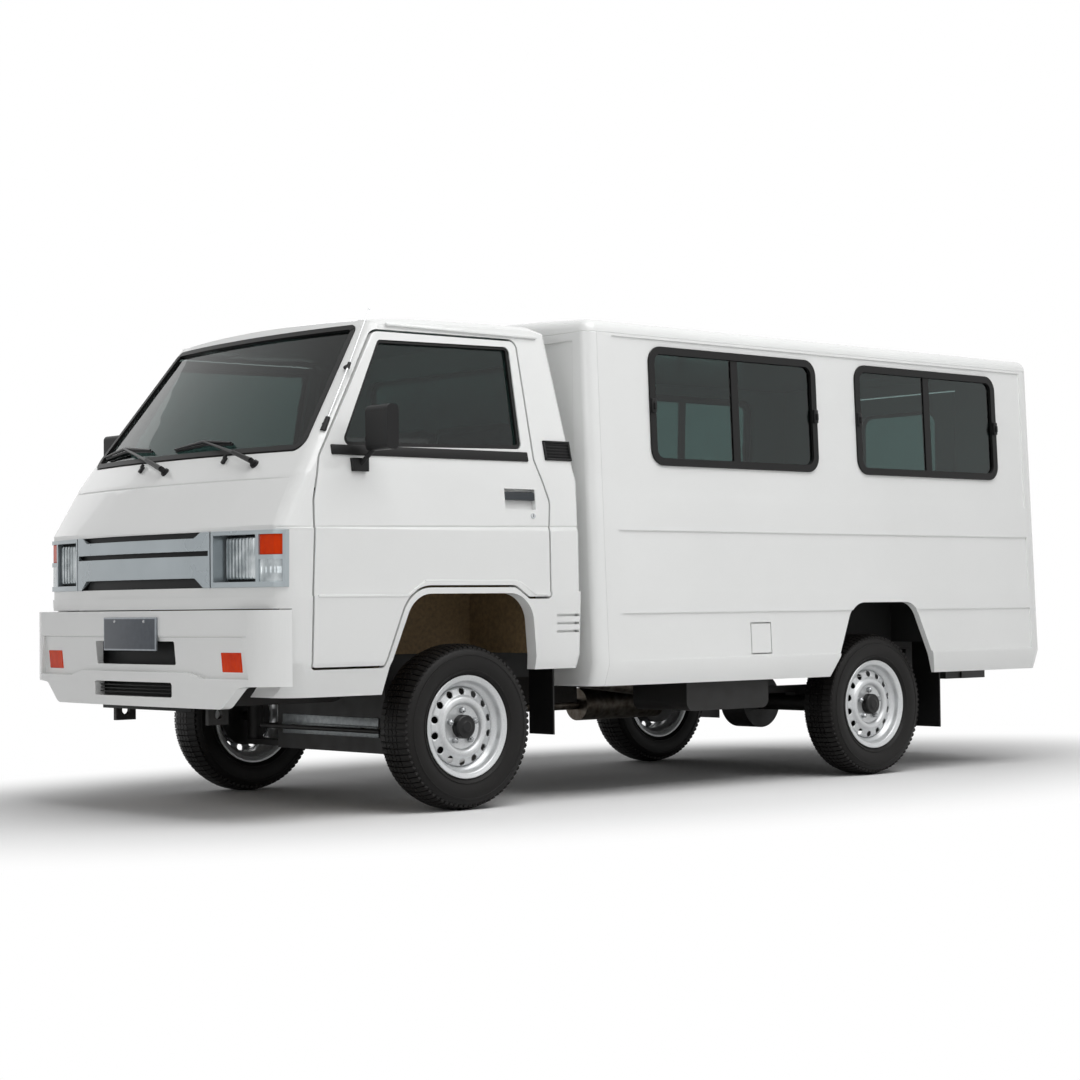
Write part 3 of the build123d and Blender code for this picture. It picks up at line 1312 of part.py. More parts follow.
def main():
    os.makedirs("parts", exist_ok=True)
    pieces = {
        "chassis_frame": chassis_frame(),
        "engine": engine(),
        "propeller_shaft": propeller_shaft(),
        "rear_axle": rear_axle(),
        "leaf_springs": leaf_springs(),
        "front_suspension": front_suspension(),
        "fuel_tank": fuel_tank(),
        "exhaust": exhaust(),
        "front_bumper": front_bumper(),
        "grille": grille(),
        "cab_floor": cab_floor(),
        "dashboard": dashboard(),
        "steering_wheel": steering_wheel(),
        "cab_seats": cab_seats(),
        "box_floor": box_floor(),
        "fuel_flap": fuel_flap(),
        "rear_step": rear_step(),
        "mudflaps": mudflaps(),
        "tail_lamps": tail_lamps(),
    }
    pieces.update(cab_panels())
    pieces.update(box_panels())
    pieces["headlamps"], pieces["amber_lamps"] = lamps()
    pieces["box_window_glass"], pieces["box_window_seals"] = box_windows()
    left = {
        "door_glass": door_glass(),
        "mirror": mirror_left(),
        "door_handle": door_handle(),
        "knuckle": knuckle(),
    }
    for name, piece in left.items():
        pieces[f"{name}_left"] = piece
        pieces[f"{name}_right"] = right_of(piece)
    for end, x, half in (("front", 0, FRONT_WHEEL_Y), ("rear", REAR_AXLE_X, REAR_WHEEL_Y)):
        for name, side in (("left", 1), ("right", -1)):
            pieces[f"wheel_{end}_{name}"] = wheel(x, side * half, side)
            pieces[f"tyre_{end}_{name}"] = tyre(x, side * half)
    for name, piece in pieces.items():
        save(name, piece)


main()
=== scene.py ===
import bmesh
import bpy
import json
import math
from mathutils import Matrix, Vector
from mathutils.bvhtree import BVHTree

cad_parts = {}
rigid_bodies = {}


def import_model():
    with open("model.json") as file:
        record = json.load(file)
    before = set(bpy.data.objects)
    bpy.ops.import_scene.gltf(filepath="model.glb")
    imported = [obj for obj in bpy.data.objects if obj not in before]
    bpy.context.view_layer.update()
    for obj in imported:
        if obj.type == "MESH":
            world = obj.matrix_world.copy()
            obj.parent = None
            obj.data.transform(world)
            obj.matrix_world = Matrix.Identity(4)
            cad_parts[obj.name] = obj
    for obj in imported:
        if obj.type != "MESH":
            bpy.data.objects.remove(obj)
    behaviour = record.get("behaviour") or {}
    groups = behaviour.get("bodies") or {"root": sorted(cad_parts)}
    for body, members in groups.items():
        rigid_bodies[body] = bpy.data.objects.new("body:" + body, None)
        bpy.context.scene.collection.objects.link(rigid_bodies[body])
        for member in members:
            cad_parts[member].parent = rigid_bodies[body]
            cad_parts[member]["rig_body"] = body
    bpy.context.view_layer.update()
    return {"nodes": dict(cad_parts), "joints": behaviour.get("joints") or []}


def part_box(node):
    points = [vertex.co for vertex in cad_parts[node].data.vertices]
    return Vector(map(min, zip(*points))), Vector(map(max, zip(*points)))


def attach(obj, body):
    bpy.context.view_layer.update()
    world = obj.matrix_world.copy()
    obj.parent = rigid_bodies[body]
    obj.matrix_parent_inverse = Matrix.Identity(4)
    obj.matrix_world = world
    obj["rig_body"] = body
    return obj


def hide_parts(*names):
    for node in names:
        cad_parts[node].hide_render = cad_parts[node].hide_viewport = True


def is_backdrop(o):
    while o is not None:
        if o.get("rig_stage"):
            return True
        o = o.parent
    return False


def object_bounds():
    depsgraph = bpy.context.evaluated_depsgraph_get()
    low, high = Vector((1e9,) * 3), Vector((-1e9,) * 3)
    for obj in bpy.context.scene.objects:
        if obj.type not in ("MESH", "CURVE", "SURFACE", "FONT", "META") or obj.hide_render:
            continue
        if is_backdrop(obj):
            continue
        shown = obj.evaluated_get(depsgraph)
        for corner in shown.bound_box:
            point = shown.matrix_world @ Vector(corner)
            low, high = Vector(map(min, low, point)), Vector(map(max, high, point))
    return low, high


# A light forward-control van in white, put together from the ladder frame up to the box body.
# Lengths are metres in the van's frame: +X forward, +Y left, +Z up, the ground at zero.
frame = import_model()
joint_at = {joint["name"]: Vector(joint["pos_m"]) for joint in frame["joints"]}
front_axle = joint_at["left_steer"].x


# Ladder frame, springs and axles: pressed and forged steel under one coat of satin black paint.
# The paint is dusty and uneven, so it breaks up the little light that gets under the van.
def linear(code):
    """Linear colour of an sRGB hex value."""
    parts = [int(code[i:i + 2], 16) / 255 for i in (1, 3, 5)]
    return (*[p / 12.92 if p <= 0.04045 else ((p + 0.055) / 1.055) ** 2.4 for p in parts], 1)


def add(tree, kind, inputs, **settings):
    """Adds one node; each input is a value or the socket that feeds it."""
    node = tree.nodes.new(kind)
    for name, value in settings.items():
        setattr(node, name, value)
    for name, value in inputs.items():
        if isinstance(value, bpy.types.NodeSocket):
            tree.links.new(value, node.inputs[name])
        else:
            node.inputs[name].default_value = value
    return node


def mottled(name, dark, light, grain_mm, rough, relief_mm=0.0, **sockets):
    """A finish whose colour and roughness drift over patches of grain_mm, with relief_mm of height."""
    material = bpy.data.materials.new(name)
    material.use_nodes = True
    tree = material.node_tree
    shader = tree.nodes["Principled BSDF"]
    place = add(tree, "ShaderNodeTexCoord", {})
    noise = add(tree, "ShaderNodeTexNoise", {
        "Vector": place.outputs["Object"], "Scale": 1000 / grain_mm, "Detail": 4.0,
    })
    tone = add(tree, "ShaderNodeValToRGB", {"Fac": noise.outputs["Fac"]})
    for element, at, code in zip(tone.color_ramp.elements, (0.3, 0.7), (dark, light)):
        element.position = at
        element.color = linear(code)
    gloss = add(tree, "ShaderNodeMapRange", {
        "Value": noise.outputs["Fac"], "To Min": rough[0], "To Max": rough[1],
    })
    tree.links.new(tone.outputs["Color"], shader.inputs["Base Color"])
    tree.links.new(gloss.outputs["Result"], shader.inputs["Roughness"])
    if relief_mm:
        bump = add(tree, "ShaderNodeBump", {"Height": noise.outputs["Fac"], "Distance": relief_mm / 1000})
        tree.links.new(bump.outputs["Normal"], shader.inputs["Normal"])
    for socket, value in sockets.items():
        shader.inputs[socket.replace("_", " ").title().replace("Ior", "IOR")].default_value = value
    return material


def dress(material, *nodes):
    """Gives frame nodes their finish."""
    for node in nodes:
        frame["nodes"][node].data.materials.clear()
        frame["nodes"][node].data.materials.append(material)


chassis_black = mottled("satin_black_chassis_paint", "#0B0B0A", "#171513", 60, (0.42, 0.7), 0.4)
dress(chassis_black, "chassis_frame", "rear_axle", "leaf_springs", "front_suspension", "knuckle_left",
      "knuckle_right", "fuel_tank", "rear_step")

# Engine, gearbox, propeller shaft and exhaust: sand-cast iron and drawn steel tube.
# Castings are coarse and matt; the pipe is bare steel, browned by heat.
cast_iron = mottled("sand_cast_iron", "#151412", "#26231F", 12, (0.55, 0.8), 0.6, metallic=0.6)
bare_steel = mottled("heat_browned_steel", "#4C443B", "#7A746C", 30, (0.35, 0.6), 0.1, metallic=1.0)
dress(cast_iron, "engine")
dress(bare_steel, "propeller_shaft", "exhaust")


# Wheels: pressed-steel discs welded into rolled rims and sprayed silver, each held by five plated nuts.
# A black moulded cap is pressed over the hub; fine flake makes the paint glint in its highlights.
def merged(node, flat_deg=0.2):
    """A bmesh copy of a frame node with its loose triangles joined and flat areas made whole."""
    form = bmesh.new()
    form.from_mesh(frame["nodes"][node].data)
    bmesh.ops.remove_doubles(form, verts=form.verts, dist=1e-5)
    if flat_deg:
        bmesh.ops.dissolve_limit(form, angle_limit=math.radians(flat_deg), verts=form.verts, edges=form.edges)
    return form


def finished(name, form, finish, body, crease_deg):
    """Makes a named object of a bmesh, shades its curves smooth and lets it ride on a body."""
    for face in form.faces:
        face.smooth = True
    for edge in form.edges:
        edge.smooth = edge.is_manifold and edge.calc_face_angle(0) < math.radians(crease_deg)
    mesh = bpy.data.meshes.new(name)
    form.to_mesh(mesh)
    form.free()
    mesh.materials.append(finish)
    made = bpy.data.objects.new(name, mesh)
    bpy.context.scene.collection.objects.link(made)
    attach(made, body)
    return made


def pressed(node, finish, crease_deg=28, rounding=0.0, form=None):
    """A smooth-shaded copy that stands for a frame node, with its edges rounded off."""
    body = frame["nodes"][node]["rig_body"]
    skin = finished(node + "_skin", form or merged(node), finish, body, crease_deg)
    if rounding:
        bevel = skin.modifiers.new("rounded", "BEVEL")
        bevel.width, bevel.segments, bevel.limit_method = rounding, 2, "ANGLE"
        bevel.angle_limit = math.radians(crease_deg)
        bevel.harden_normals = True
    weigh = skin.modifiers.new("weighted", "WEIGHTED_NORMAL")
    weigh.keep_sharp = True
    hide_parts(node)
    return skin


def piece(name, form, finish, body, crease_deg=35):
    """A new piece from a bmesh whose faces are first turned outwards."""
    bmesh.ops.recalc_face_normals(form, faces=form.faces)
    return finished(name, form, finish, body, crease_deg)


def turn(form, profile, centre, side, steps):
    """Spins a closed profile of (radius, distance out) once round an axle."""
    verts = [form.verts.new(centre + Vector((0, side * out, radius))) for radius, out in profile]
    edges = [form.edges.new(pair) for pair in zip(verts, verts[1:] + verts[:1])]
    bmesh.ops.spin(form, geom=verts + edges, cent=centre, axis=(0, 1, 0), angle=2 * math.pi, steps=steps,
                   use_merge=True)
    bmesh.ops.remove_doubles(form, verts=form.verts, dist=1e-6)


def repeat_round(form, centre, count):
    """Repeats all that a bmesh holds, evenly round an axle."""
    bmesh.ops.spin(form, geom=form.verts[:] + form.edges[:] + form.faces[:], cent=centre, axis=(0, 1, 0),
                   angle=2 * math.pi * (count - 1) / count, steps=count - 1, use_duplicate=True)


def settle(piece_made):
    """Bakes a piece's modifiers into its mesh."""
    baked = bpy.data.meshes.new_from_object(piece_made.evaluated_get(bpy.context.evaluated_depsgraph_get()))
    piece_made.modifiers.clear()
    piece_made.data = baked


wheel_silver = mottled("silver_wheel_paint", "#C6C8C9", "#D6D8D9", 4, (0.24, 0.36), 0.02, metallic=0.4)
nut_plate = mottled("zinc_plated_steel", "#8E9092", "#A8AAAB", 9, (0.18, 0.3), 0.0, metallic=1.0)
cap_black = mottled("moulded_black_nylon", "#090909", "#101011", 3, (0.3, 0.42), 0.05,
                    specular_ior_level=0.3)
RIM = [
    # radius, distance out: the face of the rim from its lip to its back edge, then back under the tyre
    (0.1985, 0.0780), (0.1955, 0.0778), (0.1925, 0.0766), (0.1890, 0.0748), (0.1845, 0.0738),
    (0.1800, 0.0722), (0.1775, 0.0690), (0.1762, 0.0620), (0.1755, 0.0520), (0.1735, 0.0450),
    (0.1660, 0.0370), (0.1575, 0.0320), (0.1545, 0.0260), (0.1540, -0.0300), (0.1700, -0.0450),
    (0.1740, -0.0550), (0.1750, -0.0700), (0.1900, -0.0760), (0.1960, -0.0780), (0.2000, -0.0770),
    (0.2000, -0.0725), (0.1800, -0.0720), (0.1790, -0.0530), (0.1740, -0.0430), (0.1580, -0.0270),
    (0.1580, 0.0250), (0.1610, 0.0290), (0.1700, 0.0350), (0.1785, 0.0430), (0.1800, 0.0520),
    (0.1800, 0.0719), (0.2000, 0.0724), (0.2004, 0.0762),
]
DISC = [
    # radius, distance out: the face from the rim in to the hub, then back behind it
    (0.1540, 0.016), (0.1536, 0.030), (0.1505, 0.0365), (0.1450, 0.0395), (0.1270, 0.0430),
    (0.1225, 0.0450), (0.1185, 0.0510), (0.1140, 0.0560), (0.1070, 0.0585), (0.0990, 0.0580),
    (0.0930, 0.0545), (0.0885, 0.0460), (0.0850, 0.0400), (0.0800, 0.0385), (0.0400, 0.0385),
    (0.0400, 0.0345), (0.0820, 0.0345), (0.0880, 0.0370), (0.0925, 0.0440), (0.0960, 0.0510),
    (0.1000, 0.0540), (0.1070, 0.0545), (0.1120, 0.0520), (0.1160, 0.0470), (0.1200, 0.0410),
    (0.1260, 0.0390), (0.1440, 0.0355), (0.1480, 0.0330), (0.1500, 0.0290), (0.1500, 0.0160),
]
VENT_RING, VENT_RADIUS, VENTS = 0.1375, 0.0140, 14
PUNCH_OUT, PUNCH_DEPTH = 0.04, 0.06
DISC_STEPS, RIM_STEPS, CAP_STEPS = 84, 96, 40
HUB_CAP = [(0, 0.075), (0.019, 0.075), (0.023, 0.072), (0.031, 0.0705), (0.041, 0.0705), (0.0458, 0.066),
           (0.0468, 0.039), (0, 0.039)]
NUTS, NUT_CIRCLE, NUT_ACROSS, NUT_FOOT, NUT_HIGH = 5, 0.064, 0.0125, 0.0375, 0.016
NUT_TIP_HIGH, NUT_TIP_FOOT, NUT_TIP_END = 0.006, 0.0100, 0.0040
corners = [(end, side) for end in ("front", "rear") for side in ("left", "right")]
for end, side in corners:
    low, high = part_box("tyre_" + end + "_" + side)
    centre = (low + high) / 2
    out = math.copysign(1, centre.y)
    body = end + "_" + side + "_wheel"
    upright = Matrix.Rotation(-out * math.pi / 2, 4, "X")

    form = bmesh.new()
    turn(form, DISC, centre, out, DISC_STEPS)
    disc = piece("wheel_disc_" + end + "_" + side, form, wheel_silver, body, 40)
    form = bmesh.new()
    place = Matrix.Translation(centre + Vector((0, out * PUNCH_OUT, VENT_RING)))
    bmesh.ops.create_cone(form, cap_ends=True, segments=24, radius1=VENT_RADIUS, radius2=VENT_RADIUS,
                          depth=PUNCH_DEPTH, matrix=place @ upright)
    repeat_round(form, centre, VENTS)
    punch = piece("punch", form, wheel_silver, body)
    vents = disc.modifiers.new("vents", "BOOLEAN")
    vents.operation, vents.solver, vents.object = "DIFFERENCE", "EXACT", punch
    settle(disc)
    bpy.data.objects.remove(punch)
    form = bmesh.new()
    turn(form, RIM, centre, out, RIM_STEPS)
    rim = piece("wheel_rim_" + end + "_" + side, form, wheel_silver, body, 40)
    for pressing in (disc, rim):
        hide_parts("wheel_" + end + "_" + side)

    form = bmesh.new()
    turn(form, HUB_CAP, centre, out, CAP_STEPS)
    piece("hub_cap_" + end + "_" + side, form, cap_black, body)

    form = bmesh.new()
    for foot, tall, low_r, top_r in (
        (NUT_FOOT, NUT_HIGH, NUT_ACROSS, NUT_ACROSS),
        (NUT_FOOT + NUT_HIGH, NUT_TIP_HIGH, NUT_TIP_FOOT, NUT_TIP_END),
    ):
        place = Matrix.Translation(centre + Vector((0, out * (foot + tall / 2), NUT_CIRCLE)))
        bmesh.ops.create_cone(form, cap_ends=True, segments=6, radius1=low_r, radius2=top_r, depth=tall,
                              matrix=place @ upright)
    repeat_round(form, centre, NUTS)
    piece("wheel_nuts_" + end + "_" + side, form, nut_plate, body)

# Tyres: moulded rubber, black with carbon; five ribs are cut by zigzag grooves and fine cross slits.
# The mould leaves two thin rings on each wall; wall and tread share one satin rubber.
tyre_rubber = mottled("carbon_black_tyre_rubber", "#0C0B0A", "#151312", 5, (0.45, 0.62), 0.15,
                      specular_ior_level=0.24)
TYRE_WALL = [
    # radius, distance out, from the bead up to the middle of the tread
    (0.1803, 0.0717), (0.2025, 0.0717), (0.2065, 0.0760), (0.2150, 0.0825), (0.2165, 0.0858),
    (0.2200, 0.0862), (0.2215, 0.0840), (0.2400, 0.0902), (0.2600, 0.0918), (0.2750, 0.0906),
    (0.2765, 0.0925), (0.2800, 0.0922), (0.2810, 0.0898), (0.2930, 0.0862), (0.3000, 0.0815),
    (0.3045, 0.0750), (0.3080, 0.0600), (0.3125, 0.0365), (0.3135, 0.0),
]
TREAD_RIBS = [
    # first edge out, its radius, second edge out, its radius
    (-0.0095, 0.3220, 0.0095, 0.3220), (0.0135, 0.3219, 0.0325, 0.3212), (0.0365, 0.3210, 0.0775, 0.3095),
    (-0.0325, 0.3212, -0.0135, 0.3219), (-0.0775, 0.3095, -0.0365, 0.3210),
]
TREAD_PITCHES, ZIGZAG, SLIT_SHARE, RIB_ROOT, WALL_STEPS = 80, 0.0052, 0.22, 0.011, 96
for end, side in corners:
    low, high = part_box("tyre_" + end + "_" + side)
    centre = (low + high) / 2
    form = bmesh.new()
    for first, first_r, second, second_r in TREAD_RIBS:
        rows = []
        for step in range(3):
            angle = 2 * math.pi / TREAD_PITCHES * (1 - SLIT_SHARE) * step / 2
            shift = ZIGZAG if step == 1 else 0.0
            rows.append([
                form.verts.new(centre + Vector((r * math.sin(angle), edge + shift, r * math.cos(angle))))
                for edge, r in ((first, first_r), (second, second_r))
            ])
        tops = [form.faces.new((a[0], a[1], b[1], b[0])) for a, b in zip(rows, rows[1:])]
        roots = bmesh.ops.extrude_face_region(form, geom=tops)["geom"]
        for vert in (v for v in roots if isinstance(v, bmesh.types.BMVert)):
            spoke = Vector((vert.co.x - centre.x, 0, vert.co.z - centre.z)).normalized()
            vert.co -= spoke * RIB_ROOT
    repeat_round(form, centre, TREAD_PITCHES)
    wall = TYRE_WALL + [(radius, -out) for radius, out in reversed(TYRE_WALL[:-1])]
    turn(form, wall, centre, 1, WALL_STEPS)
    tyre = piece("treaded_tyre_" + end + "_" + side, form, tyre_rubber, end + "_" + side + "_wheel")
    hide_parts("tyre_" + end + "_" + side)

# Cab floor with its wheel houses: pressed steel under a brown, dusty sealing coat.
# The coat is sprayed thick, so it is matt and slightly pebbled; a rubber mat covers the box floor.
sealer = mottled("sprayed_underbody_sealer", "#66543A", "#86704F", 14, (0.6, 0.85), 0.5)
dress(sealer, "cab_floor")
floor_mat = mottled("ribbed_rubber_mat", "#141414", "#20201F", 8, (0.7, 0.9), 0.5)
dress(floor_mat, "box_floor")

# Dashboard and steering wheel: moulded plastic with a fine leather-like grain.
# The dashboard is fixed across the cab below the screen, and the wheel stands on its column.
grey_plastic = mottled("grained_grey_plastic", "#2C2D2F", "#38393B", 2, (0.5, 0.65), 0.15)
black_plastic = mottled("grained_black_plastic", "#0C0C0D", "#141415", 2, (0.38, 0.52), 0.1,
                        specular_ior_level=0.25)
dress(grey_plastic, "dashboard")
dress(black_plastic, "steering_wheel")

# Cab seats: moulded foam under woven cloth, pulled down at the edges over a steel pan.
# The cloth sim swells the foam against its cover, so the pads are crowned and their edges are soft.
ONE_WAVE = 6.28


def weave(name, dark, light, thread_mm):
    """Plain-woven cloth: two crossing sets of threads, drawn coarse enough to show."""
    material = bpy.data.materials.new(name)
    material.use_nodes = True
    tree = material.node_tree
    shader = tree.nodes["Principled BSDF"]
    place = add(tree, "ShaderNodeTexCoord", {})
    waves = {"Vector": place.outputs["Object"], "Scale": 1000 / thread_mm / ONE_WAVE}
    sets = [
        add(tree, "ShaderNodeTexWave", waves, bands_direction=direction)
        for direction in ("Y", "DIAGONAL")
    ]
    cross = add(tree, "ShaderNodeMath", {0: sets[0].outputs["Fac"], 1: sets[1].outputs["Fac"]},
                operation="MAXIMUM")
    tone = add(tree, "ShaderNodeValToRGB", {"Fac": cross.outputs[0]})
    for element, code in zip(tone.color_ramp.elements, (dark, light)):
        element.color = linear(code)
    bump = add(tree, "ShaderNodeBump", {"Height": cross.outputs[0], "Distance": thread_mm / 4000})
    tree.links.new(tone.outputs["Color"], shader.inputs["Base Color"])
    tree.links.new(bump.outputs["Normal"], shader.inputs["Normal"])
    for socket, value in {"Roughness": 0.9, "Sheen Weight": 0.25, "Sheen Roughness": 0.5}.items():
        shader.inputs[socket].default_value = value
    return material


FOAM_START, FOAM_GRID, SWELL_CAP = 0.006, 0.012, 0.016
COVER_PRESSURE, SWELL_FRAMES = 4, 20
seat_cloth = weave("woven_seat_cloth", "#222326", "#3A3B3F", 6)
form = merged("cab_seats")
bmesh.ops.triangulate(form, faces=form.faces)
for vert in form.verts:
    vert.co -= vert.normal * FOAM_START
pads = finished("seat_pads", form, seat_cloth, "chassis", 60)
remesh = pads.modifiers.new("foam_grid", "REMESH")
remesh.mode, remesh.voxel_size, remesh.use_smooth_shade = "VOXEL", FOAM_GRID, True
settle(pads)
rest = [vert.co.copy() for vert in pads.data.vertices]
cloth = pads.modifiers.new("cover", "CLOTH")
cloth.settings.use_pressure = True
cloth.settings.uniform_pressure_force = COVER_PRESSURE
cloth.settings.effector_weights.gravity = 0
for step in range(1, SWELL_FRAMES + 1):
    bpy.context.scene.frame_set(step)
settle(pads)
bpy.context.scene.frame_set(1)
for vert, start in zip(pads.data.vertices, rest):
    move = vert.co - start
    vert.co = start + move.normalized() * min(move.length, SWELL_CAP)
smooth = pads.modifiers.new("smooth", "SUBSURF")
smooth.levels = smooth.render_levels = 1
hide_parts("cab_seats")

# Body panels: deep-drawn sheet steel in baked white enamel under a clear top coat.
# The coat mirrors the studio sharply, and the folded edges of the panels are softly rounded.
# Straight lines pressed into the sides, the front and the bumper stiffen the sheet.
enamel = mottled("white_baked_enamel", "#E9EAE9", "#EEEFEE", 700, (0.2, 0.28), 0.0, coat_weight=0.4,
                 coat_roughness=0.04, ior=1.5)
EDGE_ROUNDING, LIP_ROUNDING = 0.0022, 0.0012
PANELS = [
    "cab_front_panel", "cab_side_left", "cab_side_right", "cab_roof", "cab_back_panel",
    "door_left", "door_right", "front_bumper", "box_side_left", "box_side_right",
    "box_front_wall", "box_roof", "box_rear_frame", "rear_door", "fuel_flap",
]
WAIST_LINE = (1.0945, 0.0138, "sides", 0.80)
SWAGES = {
    # height at the front axle, fall per metre forward, where it runs, and from or to what distance out
    "door_left": [WAIST_LINE], "door_right": [WAIST_LINE], "cab_side_left": [WAIST_LINE],
    "cab_side_right": [WAIST_LINE], "cab_front_panel": [WAIST_LINE, (1.266, 0.0, "front", 0.72)],
    "front_bumper": [(0.684, 0.0, "front", 0.73)],
}
SWAGE_HALF, SWAGE_DEPTH = 0.0060, 0.0040


def swage(form, height, fall, run, reach):
    """Presses one straight V line into the sides of a panel or across its front."""
    normal = Vector((fall, 0, 1)).normalized()
    middle = Vector((front_axle, 0, height))
    for offset in (-SWAGE_HALF, SWAGE_HALF, 0):
        bmesh.ops.bisect_plane(form, geom=form.verts[:] + form.edges[:] + form.faces[:], dist=1e-6,
                               plane_co=middle + normal * offset, plane_no=normal)
    for vert in form.verts:
        if abs((vert.co - middle).dot(normal)) < 1e-5:
            if run == "sides" and abs(vert.co.y) > reach:
                vert.co.y -= math.copysign(SWAGE_DEPTH, vert.co.y)
            elif run == "front" and abs(vert.co.y) < reach:
                vert.co.x -= SWAGE_DEPTH


for panel in PANELS:
    bumper = panel == "front_bumper"
    form = merged(panel, 0) if bumper else merged(panel)
    for line in SWAGES.get(panel, []):
        swage(form, *line)
    pressed(panel, enamel, 28, LIP_ROUNDING if bumper else EDGE_ROUNDING, form)


# Glass: green-grey tinted safety glass, dark enough that the inside is only guessed.
# A black rubber section round each cab pane grips it and hides its edge.
def tinted(name, tint, ior):
    """Smooth clear glass of one tint, with what it mirrors set by its IOR."""
    material = bpy.data.materials.new(name)
    material.use_nodes = True
    shader = material.node_tree.nodes["Principled BSDF"]
    sockets = {"Base Color": linear(tint), "Roughness": 0.0, "IOR": ior, "Transmission Weight": 1.0}
    for socket, value in sockets.items():
        shader.inputs[socket].default_value = value
    return material


screen_glass = tinted("laminated_screen_glass", "#505B59", 1.26)
side_glass = tinted("green_toughened_glass", "#6E8582", 1.40)
pressed("windshield", screen_glass, 28)
for pane in ("cab_back_window", "door_glass_left", "door_glass_right", "box_window_glass", "rear_door_glass"):
    pressed(pane, side_glass, 28)

seal_rubber = mottled("black_extruded_rubber", "#0A0A0A", "#121212", 6, (0.4, 0.55), 0.05,
                      specular_ior_level=0.25)
dress(seal_rubber, "mudflaps")
pressed("box_window_seals", seal_rubber, 28, 0.002)


def surround(name, pane, facing, wide, proud, body):
    """A rubber section of that width round the edge of a pane, standing proud of the glass."""
    facing = Vector(facing).normalized()
    form = merged(pane)
    away = [face for face in form.faces if face.normal.dot(facing) < 0.6]
    bmesh.ops.delete(form, geom=away, context="FACES")
    rim = bmesh.ops.inset_region(form, faces=form.faces[:], thickness=wide, use_even_offset=True,
                                 use_boundary=True)["faces"]
    inner = [face for face in form.faces if face not in set(rim)]
    bmesh.ops.delete(form, geom=inner, context="FACES")
    lifted = bmesh.ops.extrude_face_region(form, geom=form.faces[:])["geom"]
    verts = [part for part in lifted if isinstance(part, bmesh.types.BMVert)]
    bmesh.ops.translate(form, vec=facing * proud, verts=verts)
    return piece(name, form, seal_rubber, body, 40)


SURROUNDS = [
    # name, pane, facing, width, height above the glass, body
    ("windshield_rubber", "windshield", (0.82, 0, 0.57), 0.024, 0.012, "chassis"),
    ("back_window_rubber", "cab_back_window", (-1, 0, 0), 0.020, 0.012, "chassis"),
    ("left_window_channel", "door_glass_left", (0, 1, 0.2), 0.014, 0.012, "left_door"),
    ("right_window_channel", "door_glass_right", (0, -1, 0.2), 0.014, 0.012, "right_door"),
    ("back_door_window_rubber", "rear_door_glass", (-1, 0, 0), 0.018, 0.010, "back_door"),
]
for row in SURROUNDS:
    surround(*row)


# Wipers and washer jets: black-painted steel arms on splined spindles, each with a sprung rubber blade.
# The spindles come through the cowl below the screen; the blades lie along its lower edge.
def seat_on(node, start, toward):
    """Place where a line meets a frame node: X along the surface, Y up it and Z out of it."""
    form = bmesh.new()
    form.from_mesh(frame["nodes"][node].data)
    point, normal, _, _ = BVHTree.FromBMesh(form).ray_cast(Vector(start), Vector(toward))
    form.free()
    across = Vector((0, 0, 1)).cross(normal).normalized()
    return Matrix.Translation(point) @ Matrix((across, normal.cross(across), normal)).transposed().to_4x4()


def rod(form, start, end, start_radius, end_radius, segments=14):
    """Adds a round bar between two points."""
    run = end - start
    place = Matrix.Translation((start + end) / 2) @ run.to_track_quat("Z", "Y").to_matrix().to_4x4()
    bmesh.ops.create_cone(form, cap_ends=True, segments=segments, radius1=start_radius, radius2=end_radius,
                          depth=run.length, matrix=place)


def slab(form, place, wide, high, out, rounding=0.0):
    """Adds a block between (from, to) limits on a place's three axes, its edges rounded off."""
    middle = Vector([(a + b) / 2 for a, b in (wide, high, out)])
    size = Matrix.Diagonal([b - a for a, b in (wide, high, out)] + [1])
    verts = bmesh.ops.create_cube(form, size=1, matrix=place @ Matrix.Translation(middle) @ size)["verts"]
    if rounding:
        edges = list({edge for vert in verts for edge in vert.link_edges})
        bmesh.ops.bevel(form, geom=edges, offset=rounding, affect="EDGES", segments=2, profile=0.5,
                        material=-1)


wiper_black = mottled("black_wiper_enamel", "#0C0C0D", "#151516", 20, (0.3, 0.45), 0.0,
                      specular_ior_level=0.3)
AHEAD = front_axle + 2.0
WIPERS = [
    # spindle (y, z), blade's middle, outer end and inner end (y, z)
    ((-0.017, 1.322), (-0.488, 1.431), (-0.675, 1.413), (-0.247, 1.417)),
    ((0.532, 1.327), (0.151, 1.420), (-0.044, 1.406), (0.320, 1.413)),
]
JETS = [(-0.219, 1.342), (0.344, 1.349)]
SPINDLE_RADIUS, SPINDLE_HIGH, SPINDLE_SUNK, COLLAR_HIGH = 0.013, 0.030, 0.004, 0.008
ARM_FOOT, ARM_KNEE, ARM_THIN, ARM_END = 0.011, 0.008, 0.0065, 0.0042
BLADE_OFF, BLADE_HEART, BLADE_TIP, RUBBER_RADIUS = 0.016, 0.0075, 0.0035, 0.0055
form = bmesh.new()
